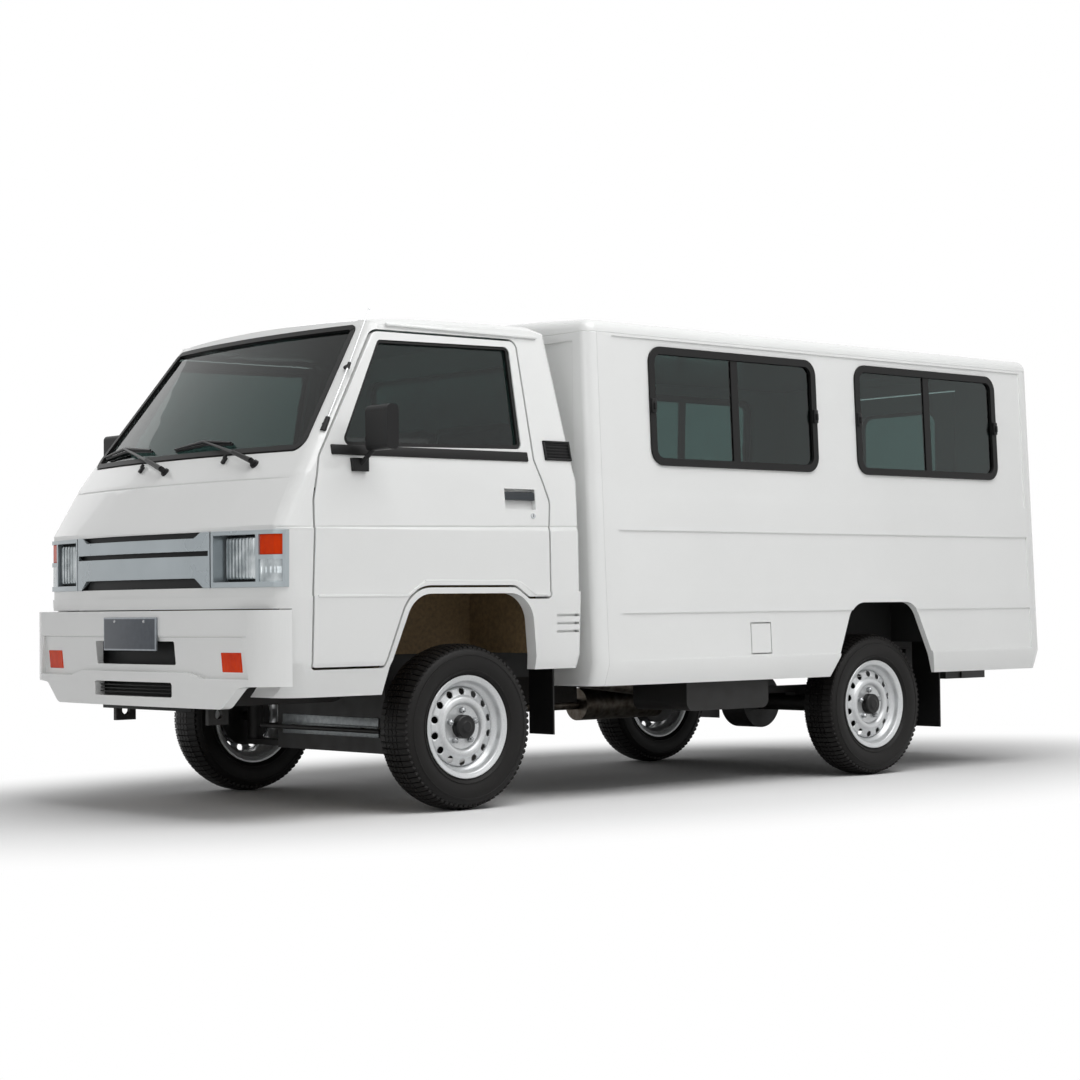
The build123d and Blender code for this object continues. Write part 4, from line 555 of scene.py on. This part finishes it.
for spindle, middle, outer, inner in WIPERS:
    foot = seat_on("cab_front_panel", (AHEAD, *spindle), (-1, 0, 0))
    top = foot @ Vector((0, 0, SPINDLE_HIGH))
    root = foot @ Vector((0, 0, -SPINDLE_SUNK))
    rod(form, root, top, SPINDLE_RADIUS, SPINDLE_RADIUS * 0.8)
    rod(form, root, foot @ Vector((0, 0, COLLAR_HIGH)), SPINDLE_RADIUS * 1.5, SPINDLE_RADIUS * 1.3)
    grip = seat_on("windshield", (AHEAD, *middle), (-1, 0, 0))
    hold = grip @ Vector((0, 0, BLADE_OFF + 0.012))
    knee = top.lerp(hold, 0.3) + Vector((0.012, 0, 0.006))
    rod(form, top - Vector((0.004, 0, 0.004)), knee, ARM_FOOT, ARM_KNEE)
    rod(form, knee, hold, ARM_THIN, ARM_END)
    ends = [seat_on("windshield", (AHEAD, *end), (-1, 0, 0)) for end in (outer, inner)]
    tips = [end @ Vector((0, 0, BLADE_OFF)) for end in ends]
    heart = grip @ Vector((0, 0, BLADE_OFF + 0.008))
    for tip in tips:
        rod(form, heart, tip, BLADE_HEART, BLADE_TIP)
        edge = tip - grip.col[2].to_3d() * (BLADE_OFF - 0.005)
        rod(form, grip @ Vector((0, 0, 0.007)), edge, RUBBER_RADIUS, RUBBER_RADIUS, 8)
piece("wipers", form, wiper_black, "chassis")
form = bmesh.new()
for jet in JETS:
    foot = seat_on("cab_front_panel", (AHEAD, *jet), (-1, 0, 0))
    slab(form, foot, (-0.009, 0.009), (-0.016, 0.014), (-0.002, 0.012), 0.004)
    slab(form, foot, (-0.006, 0.006), (0.004, 0.022), (0.004, 0.016), 0.003)
piece("washer_jets", form, black_plastic, "chassis")

# Aerial: a telescopic rod of stainless steel along the left windscreen pillar, in black moulded mounts.
# The mounts are fixed to the pillar; the upper length is thinner and ends in a small ball.
aerial_plate = mottled("polished_stainless_steel", "#B9BBBC", "#CFD1D2", 40, (0.12, 0.22), 0.0, metallic=1.0)
AERIAL_AT = ((0.640, 0.762, 1.470), (0.505, 0.728, 1.700), (0.379, 0.692, 1.926))
AERIAL = [Vector((front_axle + x, y, z)) for x, y, z in AERIAL_AT]
LOWER_RADII, UPPER_RADII, BALL_RADIUS = (0.0048, 0.0040), (0.0030, 0.0022), 0.0045
AERIAL_MOUNTS = ((AERIAL[0], 0.012, 0.030), (AERIAL[1], 0.008, 0.012))
TO_PILLAR = Vector((-0.006, -0.030, -0.006))
form = bmesh.new()
rod(form, AERIAL[0], AERIAL[1], *LOWER_RADII)
rod(form, AERIAL[1], AERIAL[2], *UPPER_RADII)
bmesh.ops.create_uvsphere(form, u_segments=12, v_segments=8, radius=BALL_RADIUS,
                          matrix=Matrix.Translation(AERIAL[2]))
piece("aerial_rod", form, aerial_plate, "chassis")
form = bmesh.new()
for point, radius, reach in AERIAL_MOUNTS:
    along = (AERIAL[2] - AERIAL[0]).normalized()
    rod(form, point - along * reach, point + along * reach, radius, radius * 0.8)
    rod(form, point, point + TO_PILLAR, radius * 0.8, radius)
piece("aerial_mounts", form, black_plastic, "chassis")

# Doors: black belt mouldings below the glass, a bead over the wheel arch, pull handles and key locks.
# The handles' chromium carries a painted dark reflection: its colour is made dark, because the pale studio
# gives it nothing dark to mirror.
# Each mirror is a grained black shell with silvered glass set in its rear face.
chrome = mottled("chromium_plate", "#C4C7C9", "#D6D8DA", 400, (0.05, 0.1), 0.0, metallic=1.0)
# Chromium whose colour is painted dark: a painted reflection of dark surroundings, not a dark plating.
chrome_painted_dark_reflection = mottled("chromium_with_painted_dark_reflection", "#3E4144", "#4C4F52", 400, (0.08, 0.14), 0.0, metallic=1.0)
silvered = mottled("silvered_mirror_glass", "#C9CED0", "#D3D8DA", 500, (0.0, 0.02), 0.0, metallic=1.0)
BESIDE, STRIP_SUNK = 2.0, 0.006


def side_strip(form, node, out, ends, half, proud, rounding):
    """Adds a straight strip along the van's side, seated on a frame node at both ends (x, z)."""
    back, front = [seat_on(node, (front_axle + x, out * BESIDE, z), (0, -out, 0)) for x, z in ends]
    run = front.translation - back.translation
    along = run.normalized()
    up = back.col[2].xyz.cross(along).normalized()
    place = Matrix((along, up, along.cross(up))).transposed().to_4x4()
    place.translation = (front.translation + back.translation) / 2
    slab(form, place, (-run.length / 2, run.length / 2), (-half, half), (-STRIP_SUNK, proud), rounding)


# strips: two ends (x from the front axle, z), half width, height above the skin, rounding
BELT_MOULDING = (((-0.325, 1.3780), (0.640, 1.3745)), 0.0190, 0.007, 0.003)
ARCH_BEAD = [
    (0.738, 0.831), (0.318, 0.831), (0.236, 0.886), (-0.231, 0.886), (-0.322, 0.833), (-0.385, 0.833),
]
BEAD_SECTION = (0.0050, 0.0030, 0.0025)
LOCK_AT, LOCK_RADIUS, LOCK_SUNK, LOCK_PROUD = (-0.324, 1.143), 0.012, 0.002, 0.005
MIRROR_MIDDLE, MIRROR_BEHIND, MIRROR_HALF = (0.93, 1.453), 1.0, (0.056, 0.071)
for side, out in (("left", 1), ("right", -1)):
    body = side + "_door"
    pressed("mirror_" + side, black_plastic, 30, 0.002)
    # The handle's chromium is painted dark, a painted reflection.
    pressed("door_handle_" + side, chrome_painted_dark_reflection, 30, 0.003)

    form = bmesh.new()
    side_strip(form, "door_" + side, out, *BELT_MOULDING)
    piece("belt_moulding_" + side, form, seal_rubber, body)
    form = bmesh.new()
    for ends in zip(ARCH_BEAD, ARCH_BEAD[1:]):
        side_strip(form, "door_" + side, out, ends, *BEAD_SECTION)
    piece("arch_bead_" + side, form, enamel, body)

    x, z = LOCK_AT
    hole = seat_on("door_" + side, (front_axle + x, out * BESIDE, z), (0, -out, 0))
    form = bmesh.new()
    root, tip = (hole @ Vector((0, 0, depth)) for depth in (-LOCK_SUNK, LOCK_PROUD))
    rod(form, root, tip, LOCK_RADIUS, LOCK_RADIUS * 0.85, 24)
    piece("lock_" + side, form, chrome, body)
    form = bmesh.new()
    slab(form, hole, (-0.0014, 0.0014), (-0.006, 0.006), (0.003, 0.0056))
    piece("keyway_" + side, form, black_plastic, body)

    y, z = MIRROR_MIDDLE
    face = seat_on("mirror_" + side, (front_axle - MIRROR_BEHIND, out * y, z), (1, 0, 0))
    form = bmesh.new()
    wide, high = MIRROR_HALF
    slab(form, face, (-wide, wide), (-high, high), (-0.003, 0.0015), 0.001)
    piece("mirror_glass_" + side, form, silvered, body)

# Roof gutters: folded flanges of the roof pressing, painted with it, that shed rain past the doors.
# Each is one straight strip along the edge of the roof.
GUTTER = (((-0.470, 1.8725), (0.300, 1.8725)), 0.0060, 0.012, 0.003)
form = bmesh.new()
for side, out in (("left", 1), ("right", -1)):
    side_strip(form, "cab_roof", out, *GUTTER)
piece("roof_gutters", form, enamel, "chassis")

# Pillar vents: black mouldings with five slats, pushed into the pillars behind the doors.
# The slats lean in a raised rim, so that air leaves the cab and rain runs off.
VENT_MIDDLE, VENT_HALF, VENT_RIM, RIM_PROUD = (-0.4885, 1.4085), (0.0705, 0.0405), 0.009, 0.008
SLATS, SLAT_LEAN, SLAT_HALF = 5, 0.6, 0.0055
form = bmesh.new()
for side, out in (("left", 1), ("right", -1)):
    x, z = VENT_MIDDLE
    place = seat_on("cab_side_" + side, (front_axle + x, out * BESIDE, z), (0, -out, 0))
    wide, high = VENT_HALF
    slab(form, place, (-wide, wide), (-high, high), (-0.004, 0.002), 0.002)
    for low, top in ((-high, VENT_RIM - high), (high - VENT_RIM, high)):
        slab(form, place, (-wide, wide), (low, top), (0.0, RIM_PROUD), 0.002)
    for low, top in ((-wide, VENT_RIM - wide), (wide - VENT_RIM, wide)):
        slab(form, place, (low, top), (-high, high), (0.0, RIM_PROUD), 0.002)
    for index in range(SLATS):
        middle = (index - (SLATS - 1) / 2) * (2 * (high - VENT_RIM)) / SLATS
        tilt = Matrix.Translation((0, middle, 0.003)) @ Matrix.Rotation(SLAT_LEAN, 4, "X")
        run = (VENT_RIM - wide, wide - VENT_RIM)
        slab(form, place @ tilt, run, (-SLAT_HALF, SLAT_HALF), (-0.001, 0.0015), 0.0007)
piece("pillar_vents", form, black_plastic, "chassis")

# Face of the cab: one silver moulding across it carries the grille bars and the lamp bezels.
# The satin paint is fine and metallic; the pockets between the bars are left black.
silver = mottled("silver_painted_abs", "#9DA5A9", "#AAB2B6", 300, (0.24, 0.32), 0.0, metallic=0.55)
pocket_black = mottled("matt_black_abs", "#141516", "#1E1F20", 4, (0.5, 0.65), 0.08,
                       specular_ior_level=0.25)
CLEAN_BAR_Z, POCKET_LEAST, POCKET_HALF = 1.030, 0.008, 0.485
grille = pressed("grille", silver, 20, 0.0, merged("grille", 0))
grille.data.materials.append(pocket_black)
for polygon in grille.data.polygons:
    where = polygon.center
    if abs(where.y) < POCKET_HALF:
        bar = seat_on("grille", (AHEAD, where.y, CLEAN_BAR_Z), (-1, 0, 0)).translation
        polygon.material_index = int(bar.x - where.x > POCKET_LEAST)

# Lamps: pressed glass over bright reflectors, and moulded acrylic; upright flutes spread the beam.
# The flutes are drawn 11 mm wide on the clear lamps and 9 mm on the others, to show in the render.
ROW_WAVE = 25


def fluted(name, dark, light, flute_mm, relief_mm, **sockets):
    """Lens whose surface rises and falls with its flutes and with the reflector's facets."""
    material = mottled(name, dark, light, 60, (0.04, 0.08), 0.0, **sockets)
    tree = material.node_tree
    shader = tree.nodes["Principled BSDF"]
    place = add(tree, "ShaderNodeTexCoord", {})
    where, per_metre = place.outputs["Object"], 1000 / flute_mm
    flutes, rows = [
        add(tree, "ShaderNodeTexWave", {"Vector": where, "Scale": per_metre / wave}, bands_direction=bands)
        for bands, wave in (("Y", ONE_WAVE), ("Z", ROW_WAVE))
    ]
    facets = add(tree, "ShaderNodeMath", {0: flutes.outputs["Fac"], 1: rows.outputs["Fac"]}, operation="ADD")
    bump = add(tree, "ShaderNodeBump", {"Height": facets.outputs[0], "Distance": relief_mm / 1000})
    tree.links.new(bump.outputs["Normal"], shader.inputs["Normal"])
    return material


clear_lens = fluted("fluted_lamp_glass", "#8F979A", "#D4DADC", 11, 2.0, metallic=0.55)
amber_lens = fluted("amber_acrylic", "#D83200", "#EE4400", 9, 0.6, specular_ior_level=0.08)
red_lens = fluted("red_acrylic", "#6A0202", "#860505", 9, 0.6, specular_ior_level=0.1)
LENS_X, LENS_MIDDLE, LENS_HALF, LENS_RIM = 0.915, (0.6015, 0.9725), (0.1045, 0.0835), 0.006
LENS_DEPTH, SHELL_DEPTH = (-0.030, 0.0), (-0.040, -0.012)
CORNER_LAMPS_FROM = 0.715
FACING_AHEAD = Matrix(((0, 0, 1), (1, 0, 0), (0, 1, 0))).to_4x4()
form = merged("headlamps")
inner = [face for face in form.faces if abs(face.calc_center_median().y) < CORNER_LAMPS_FROM]
bmesh.ops.delete(form, geom=inner, context="FACES")
corner_lamps = finished("corner_lamps", form, clear_lens, "chassis", 30)
lenses, shells = bmesh.new(), bmesh.new()
for out in (1, -1):
    place = Matrix.Translation((front_axle + LENS_X, out * LENS_MIDDLE[0], LENS_MIDDLE[1])) @ FACING_AHEAD
    wide, tall = LENS_HALF
    slab(shells, place, (-wide, wide), (-tall, tall), SHELL_DEPTH, 0.006)
    lens_wide, lens_tall = wide - LENS_RIM, tall - LENS_RIM
    slab(lenses, place, (-lens_wide, lens_wide), (-lens_tall, lens_tall), LENS_DEPTH, 0.010)
lens_shells = piece("headlamp_shells", shells, pocket_black, "chassis")
lens_faces = piece("headlamp_lenses", lenses, clear_lens, "chassis")
for lamp_piece in (corner_lamps, lens_shells, lens_faces):
    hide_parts("headlamps")
pressed("amber_lamps", amber_lens, 30, 0.003)
pressed("tail_lamps", red_lens, 30, 0.004)

# Front plate and bumper slots: a blank dark plate on two plated screws, and black fins in the lower slot.
# The plate is anodised aluminium with a paler border; black boards behind both slots are painted shade, a
# dark sheet that keeps the openings dark.
plate_grey = mottled("dark_anodised_aluminium", "#41464D", "#4A4F56", 25, (0.38, 0.5), 0.0, metallic=0.3)
plate_edge = mottled("plain_anodised_aluminium", "#8B9096", "#9AA0A5", 25, (0.3, 0.4), 0.0, metallic=0.6)
PLATE_HALF, PLATE_Z, PLATE_THICK, PLATE_BORDER = 0.188, (0.632, 0.759), 0.010, 0.006
SCREW_OUT, SCREW_DOWN, SCREW_HEAD = 0.105, 0.010, (0.007, 0.005)
nose = seat_on("front_bumper", (AHEAD, 0, PLATE_Z[1] - 0.02), (-1, 0, 0)).translation.x
flat = Matrix.Translation((nose, 0, sum(PLATE_Z) / 2)) @ FACING_AHEAD
tall = (PLATE_Z[1] - PLATE_Z[0]) / 2
form = bmesh.new()
slab(form, flat, (-PLATE_HALF, PLATE_HALF), (-tall, tall), (-0.002, PLATE_THICK - 0.002), 0.002)
piece("plate_border", form, plate_edge, "chassis")
form = bmesh.new()
inner_half, inner_tall = PLATE_HALF - PLATE_BORDER, tall - PLATE_BORDER
slab(form, flat, (-inner_half, inner_half), (-inner_tall, inner_tall), (0.0, PLATE_THICK - 0.0012), 0.0006)
piece("plate_blank", form, plate_grey, "chassis")
form = bmesh.new()
for y in (-SCREW_OUT, SCREW_OUT):
    head = flat @ Vector((y, inner_tall - SCREW_DOWN, PLATE_THICK - 0.002))
    rod(form, head, head + Vector((0.003, 0, 0)), *SCREW_HEAD, 18)
piece("plate_screws", form, nut_plate, "chassis")
FIN_HALF, FIN_HEIGHTS, FIN_BACK, FIN_REACH, FIN_THICK = 0.270, (0.472, 0.485, 0.498), 0.030, 0.012, 0.0022
BESIDE_SLOT, SHADE_BOARD_HEIGHTS, SHADE_BOARD_BACK, SHADE_BOARD_THICK = 0.32, (0.620, 0.480), 0.075, 0.006
SHADE_BOARD_WIDE, SHADE_BOARD_HIGH = (-0.335, 0.300), (-0.078, 0.062)
low_slot = seat_on("front_bumper", (AHEAD, BESIDE_SLOT, FIN_HEIGHTS[1]), (-1, 0, 0)).translation.x
form = bmesh.new()
for z in FIN_HEIGHTS:
    fin = Matrix.Translation((low_slot - FIN_BACK, 0, z)) @ FACING_AHEAD
    slab(form, fin, (-FIN_HALF, FIN_HALF), (-FIN_THICK, FIN_THICK), (-FIN_REACH, FIN_REACH), 0.001)
# Black boards behind the slots: painted shade, a dark sheet standing in for the shade inside the openings.
for z in SHADE_BOARD_HEIGHTS:
    board = Matrix.Translation((nose - SHADE_BOARD_BACK, 0, z)) @ FACING_AHEAD
    slab(form, board, SHADE_BOARD_WIDE, SHADE_BOARD_HIGH, (-SHADE_BOARD_THICK, 0.0), 0.002)
piece("bumper_fins_and_shade_boards", form, pocket_black, "chassis")

# Below the nose: a galvanised splash plate on the front cross-member, and a black stabiliser bar ahead of it.
# The bar is one bent spring-steel rod held to the plate by two short hangers.
zinc = mottled("galvanised_sheet_steel", "#83888A", "#A2A7A9", 18, (0.3, 0.45), 0.1, metallic=0.7)
SPLASH_AT, SPLASH_HALF, RIDGE_HALF = (0.071, 0.3050), (0.330, 0.040), 0.006
BAR_AHEAD, BAR_Z, BAR_RADIUS, BAR_HALF, ARM_STOP = 0.130, 0.296, 0.0095, 0.400, 0.040
HANGER_OUT, HANGER_RADII = 0.240, (0.006, 0.008)
form = bmesh.new()
place = Matrix.Translation((front_axle + SPLASH_AT[0], 0, SPLASH_AT[1])) @ FACING_AHEAD
wide, high = SPLASH_HALF
slab(form, place, (-wide, wide), (-high, high), (-0.003, 0.004), 0.002)
slab(form, place, (-wide, wide), (-RIDGE_HALF, RIDGE_HALF), (0.0, 0.009), 0.003)
piece("splash_plate", form, zinc, "chassis")
form = bmesh.new()
ends = [Vector((front_axle + BAR_AHEAD, y, BAR_Z)) for y in (-BAR_HALF, BAR_HALF)]
rod(form, *ends, BAR_RADIUS, BAR_RADIUS, 16)
for end in ends:
    bmesh.ops.create_uvsphere(form, u_segments=16, v_segments=8, radius=BAR_RADIUS,
                              matrix=Matrix.Translation(end))
    rod(form, end, end - Vector((BAR_AHEAD - ARM_STOP, 0, 0)), BAR_RADIUS, BAR_RADIUS, 16)
for y in (-HANGER_OUT, HANGER_OUT):
    hung, fixed = (Vector((front_axle + x, y, BAR_Z)) for x in (BAR_AHEAD, SPLASH_AT[0]))
    rod(form, hung, fixed, *HANGER_RADII)
piece("stabiliser_bar", form, chassis_black, "chassis")

# Box windows: black moulded catches at the ends of the sliding panes, set on the window rubber.
# The back door's lever is chromed and turns on a plate screwed to the door.
WINDOW_ENDS = [-0.984, -2.018, -2.285, -3.306]
CATCH_Z, CATCH_IN = 1.615, 0.030
# slabs: across, up, outward, rounding
CATCH_BODY = ((-0.013, 0.013), (-0.030, 0.030), (-0.002, 0.010), 0.004)
CATCH_TAB = ((-0.006, 0.006), (-0.018, 0.012), (0.006, 0.018), 0.003)
LEVER_PLATE = ((-0.035, 0.035), (-0.055, 0.055), (-0.002, 0.008), 0.004)
LEVER_NECK = ((-0.012, 0.012), (-0.012, 0.012), (0.004, 0.030), 0.003)
LEVER_GRIP = ((-0.016, 0.105), (-0.011, 0.011), (0.024, 0.036), 0.005)
form = bmesh.new()
for side, out in (("left", 1), ("right", -1)):
    for index, x in enumerate(WINDOW_ENDS):
        inward = -CATCH_IN if index % 2 == 0 else CATCH_IN
        eye = (front_axle + x + inward / 2, out * BESIDE, CATCH_Z)
        place = seat_on("box_window_seals", eye, (0, -out, 0))
        for section in (CATCH_BODY, CATCH_TAB):
            slab(form, place, *section)
piece("window_catches", form, black_plastic, "chassis")
LEVER_Y, LEVER_Z, BEHIND = -0.300, 1.060, -4.0
place = seat_on("rear_door", (BEHIND, LEVER_Y, LEVER_Z), (1, 0, 0))
form = bmesh.new()
for section in (LEVER_PLATE, LEVER_NECK, LEVER_GRIP):
    slab(form, place, *section)
piece("back_door_lever", form, chrome, "back_door")


# Studio: a pale paper floor that runs out into white, under soft boxes above and round the van.
# The white is in what is seen directly, mirrored or through glass, and adds no light to the van.
def seen_directly(tree):
    """Socket that is 1 for rays from the lens, and for mirrored rays and rays through glass."""
    path = add(tree, "ShaderNodeLightPath", {})
    seen = path.outputs["Is Camera Ray"]
    for ray in ("Is Glossy Ray", "Is Transmission Ray"):
        seen = add(tree, "ShaderNodeMath", {0: seen, 1: path.outputs[ray]}, operation="MAXIMUM").outputs[0]
    return seen


FLOOR_SIZE, OVAL_HALF, WHITE_FROM, WHITE_TO, WORLD_LEVEL = 60, (2.6, 1.35), 0.95, 1.75, 0.23
floor_form = bmesh.new()
bmesh.ops.create_grid(floor_form, x_segments=1, y_segments=1, size=FLOOR_SIZE)
floor_mesh = bpy.data.meshes.new("studio_floor")
floor_form.to_mesh(floor_mesh)
floor_form.free()
floor = bpy.data.objects.new("studio_floor", floor_mesh)
bpy.context.scene.collection.objects.link(floor)
floor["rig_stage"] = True
paper = bpy.data.materials.new("white_paper_sweep")
paper.use_nodes = True
tree = paper.node_tree
matt = tree.nodes["Principled BSDF"]
matt.inputs["Base Color"].default_value = linear("#F4F4F4")
matt.inputs["Roughness"].default_value = 0.9
matt.inputs["Specular IOR Level"].default_value = 0.0
place = add(tree, "ShaderNodeTexCoord", {})
oval = add(tree, "ShaderNodeMapping", {
    "Vector": place.outputs["Object"], "Scale": (1 / OVAL_HALF[0], 1 / OVAL_HALF[1], 1.0),
})
spread = add(tree, "ShaderNodeVectorMath", {0: oval.outputs["Vector"]}, operation="LENGTH")
far = add(tree, "ShaderNodeMapRange", {
    "Value": spread.outputs["Value"], "From Min": WHITE_FROM, "From Max": WHITE_TO,
}, interpolation_type="SMOOTHSTEP")
share = add(tree, "ShaderNodeMath", {0: seen_directly(tree), 1: far.outputs["Result"]}, operation="MULTIPLY")
white = add(tree, "ShaderNodeEmission", {"Color": (1, 1, 1, 1), "Strength": 1.0})
blend = add(tree, "ShaderNodeMixShader", {
    0: share.outputs[0], 1: matt.outputs["BSDF"], 2: white.outputs["Emission"],
})
tree.links.new(blend.outputs["Shader"], tree.nodes["Material Output"].inputs["Surface"])
floor_mesh.materials.append(paper)

world = bpy.data.worlds.new("studio")
bpy.context.scene.world = world
world.use_nodes = True
tree = world.node_tree
level = add(tree, "ShaderNodeMapRange", {"Value": seen_directly(tree), "To Min": WORLD_LEVEL, "To Max": 1.0})
tree.nodes["Background"].inputs["Color"].default_value = (1, 1, 1, 1)
tree.links.new(level.outputs["Result"], tree.nodes["Background"].inputs["Strength"])

SOFT_BOXES = [
    # name, place, aimed at, width, height, watts
    ("overhead_box", (0.5, 3.4, 6.2), (0.0, 0.0, 1.0), 7.0, 5.0, 302),
    ("left_box", (-1.0, 8.0, 3.5), (-0.5, 0.0, 1.0), 7.0, 3.5, 34),
    ("front_box", (7.5, 2.0, 3.0), (1.5, 0.0, 0.8), 4.0, 3.0, 50),
    ("right_box", (-1.0, -8.0, 3.5), (-0.5, 0.0, 1.0), 7.0, 3.5, 48),
]
for name, where, aim, wide, high, watts in SOFT_BOXES:
    lamp = bpy.data.lights.new(name, "AREA")
    lamp.shape = "RECTANGLE"
    lamp.size, lamp.size_y, lamp.energy = wide, high, watts
    holder = bpy.data.objects.new(name, lamp)
    holder.location = where
    holder.rotation_euler = (Vector(aim) - Vector(where)).to_track_quat("-Z", "Y").to_euler()
    holder.visible_camera = False
    bpy.context.scene.collection.objects.link(holder)

# Camera: a long lens to the front left of the van, as in the photograph.
# It stands low, about 0.8 m above the floor, looks slightly up and leans a little.
SENSOR_MM, LENS_MM = 36, 77.243
CAMERA_AT = Vector((front_axle + 5.73769, 7.7145, 0.78857))
CAMERA_YAW, CAMERA_PITCH, CAMERA_ROLL = (math.radians(a) for a in (48.481, 1.617, -0.612))
ahead = math.cos(CAMERA_PITCH)
forward = Vector((-math.cos(CAMERA_YAW) * ahead, -math.sin(CAMERA_YAW) * ahead, math.sin(CAMERA_PITCH)))
level_right = forward.cross(Vector((0, 0, 1))).normalized()
level_up = level_right.cross(forward)
right = math.cos(CAMERA_ROLL) * level_right + math.sin(CAMERA_ROLL) * level_up
up = right.cross(forward)
lens = bpy.data.cameras.new("camera")
lens.sensor_width, lens.lens = SENSOR_MM, LENS_MM
camera = bpy.data.objects.new("camera", lens)
camera.matrix_world = Matrix.Translation(CAMERA_AT) @ Matrix((right, up, -forward)).transposed().to_4x4()
bpy.context.scene.collection.objects.link(camera)
bpy.context.scene.camera = camera
bpy.context.scene.view_settings.view_transform = "Standard"

low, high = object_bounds()
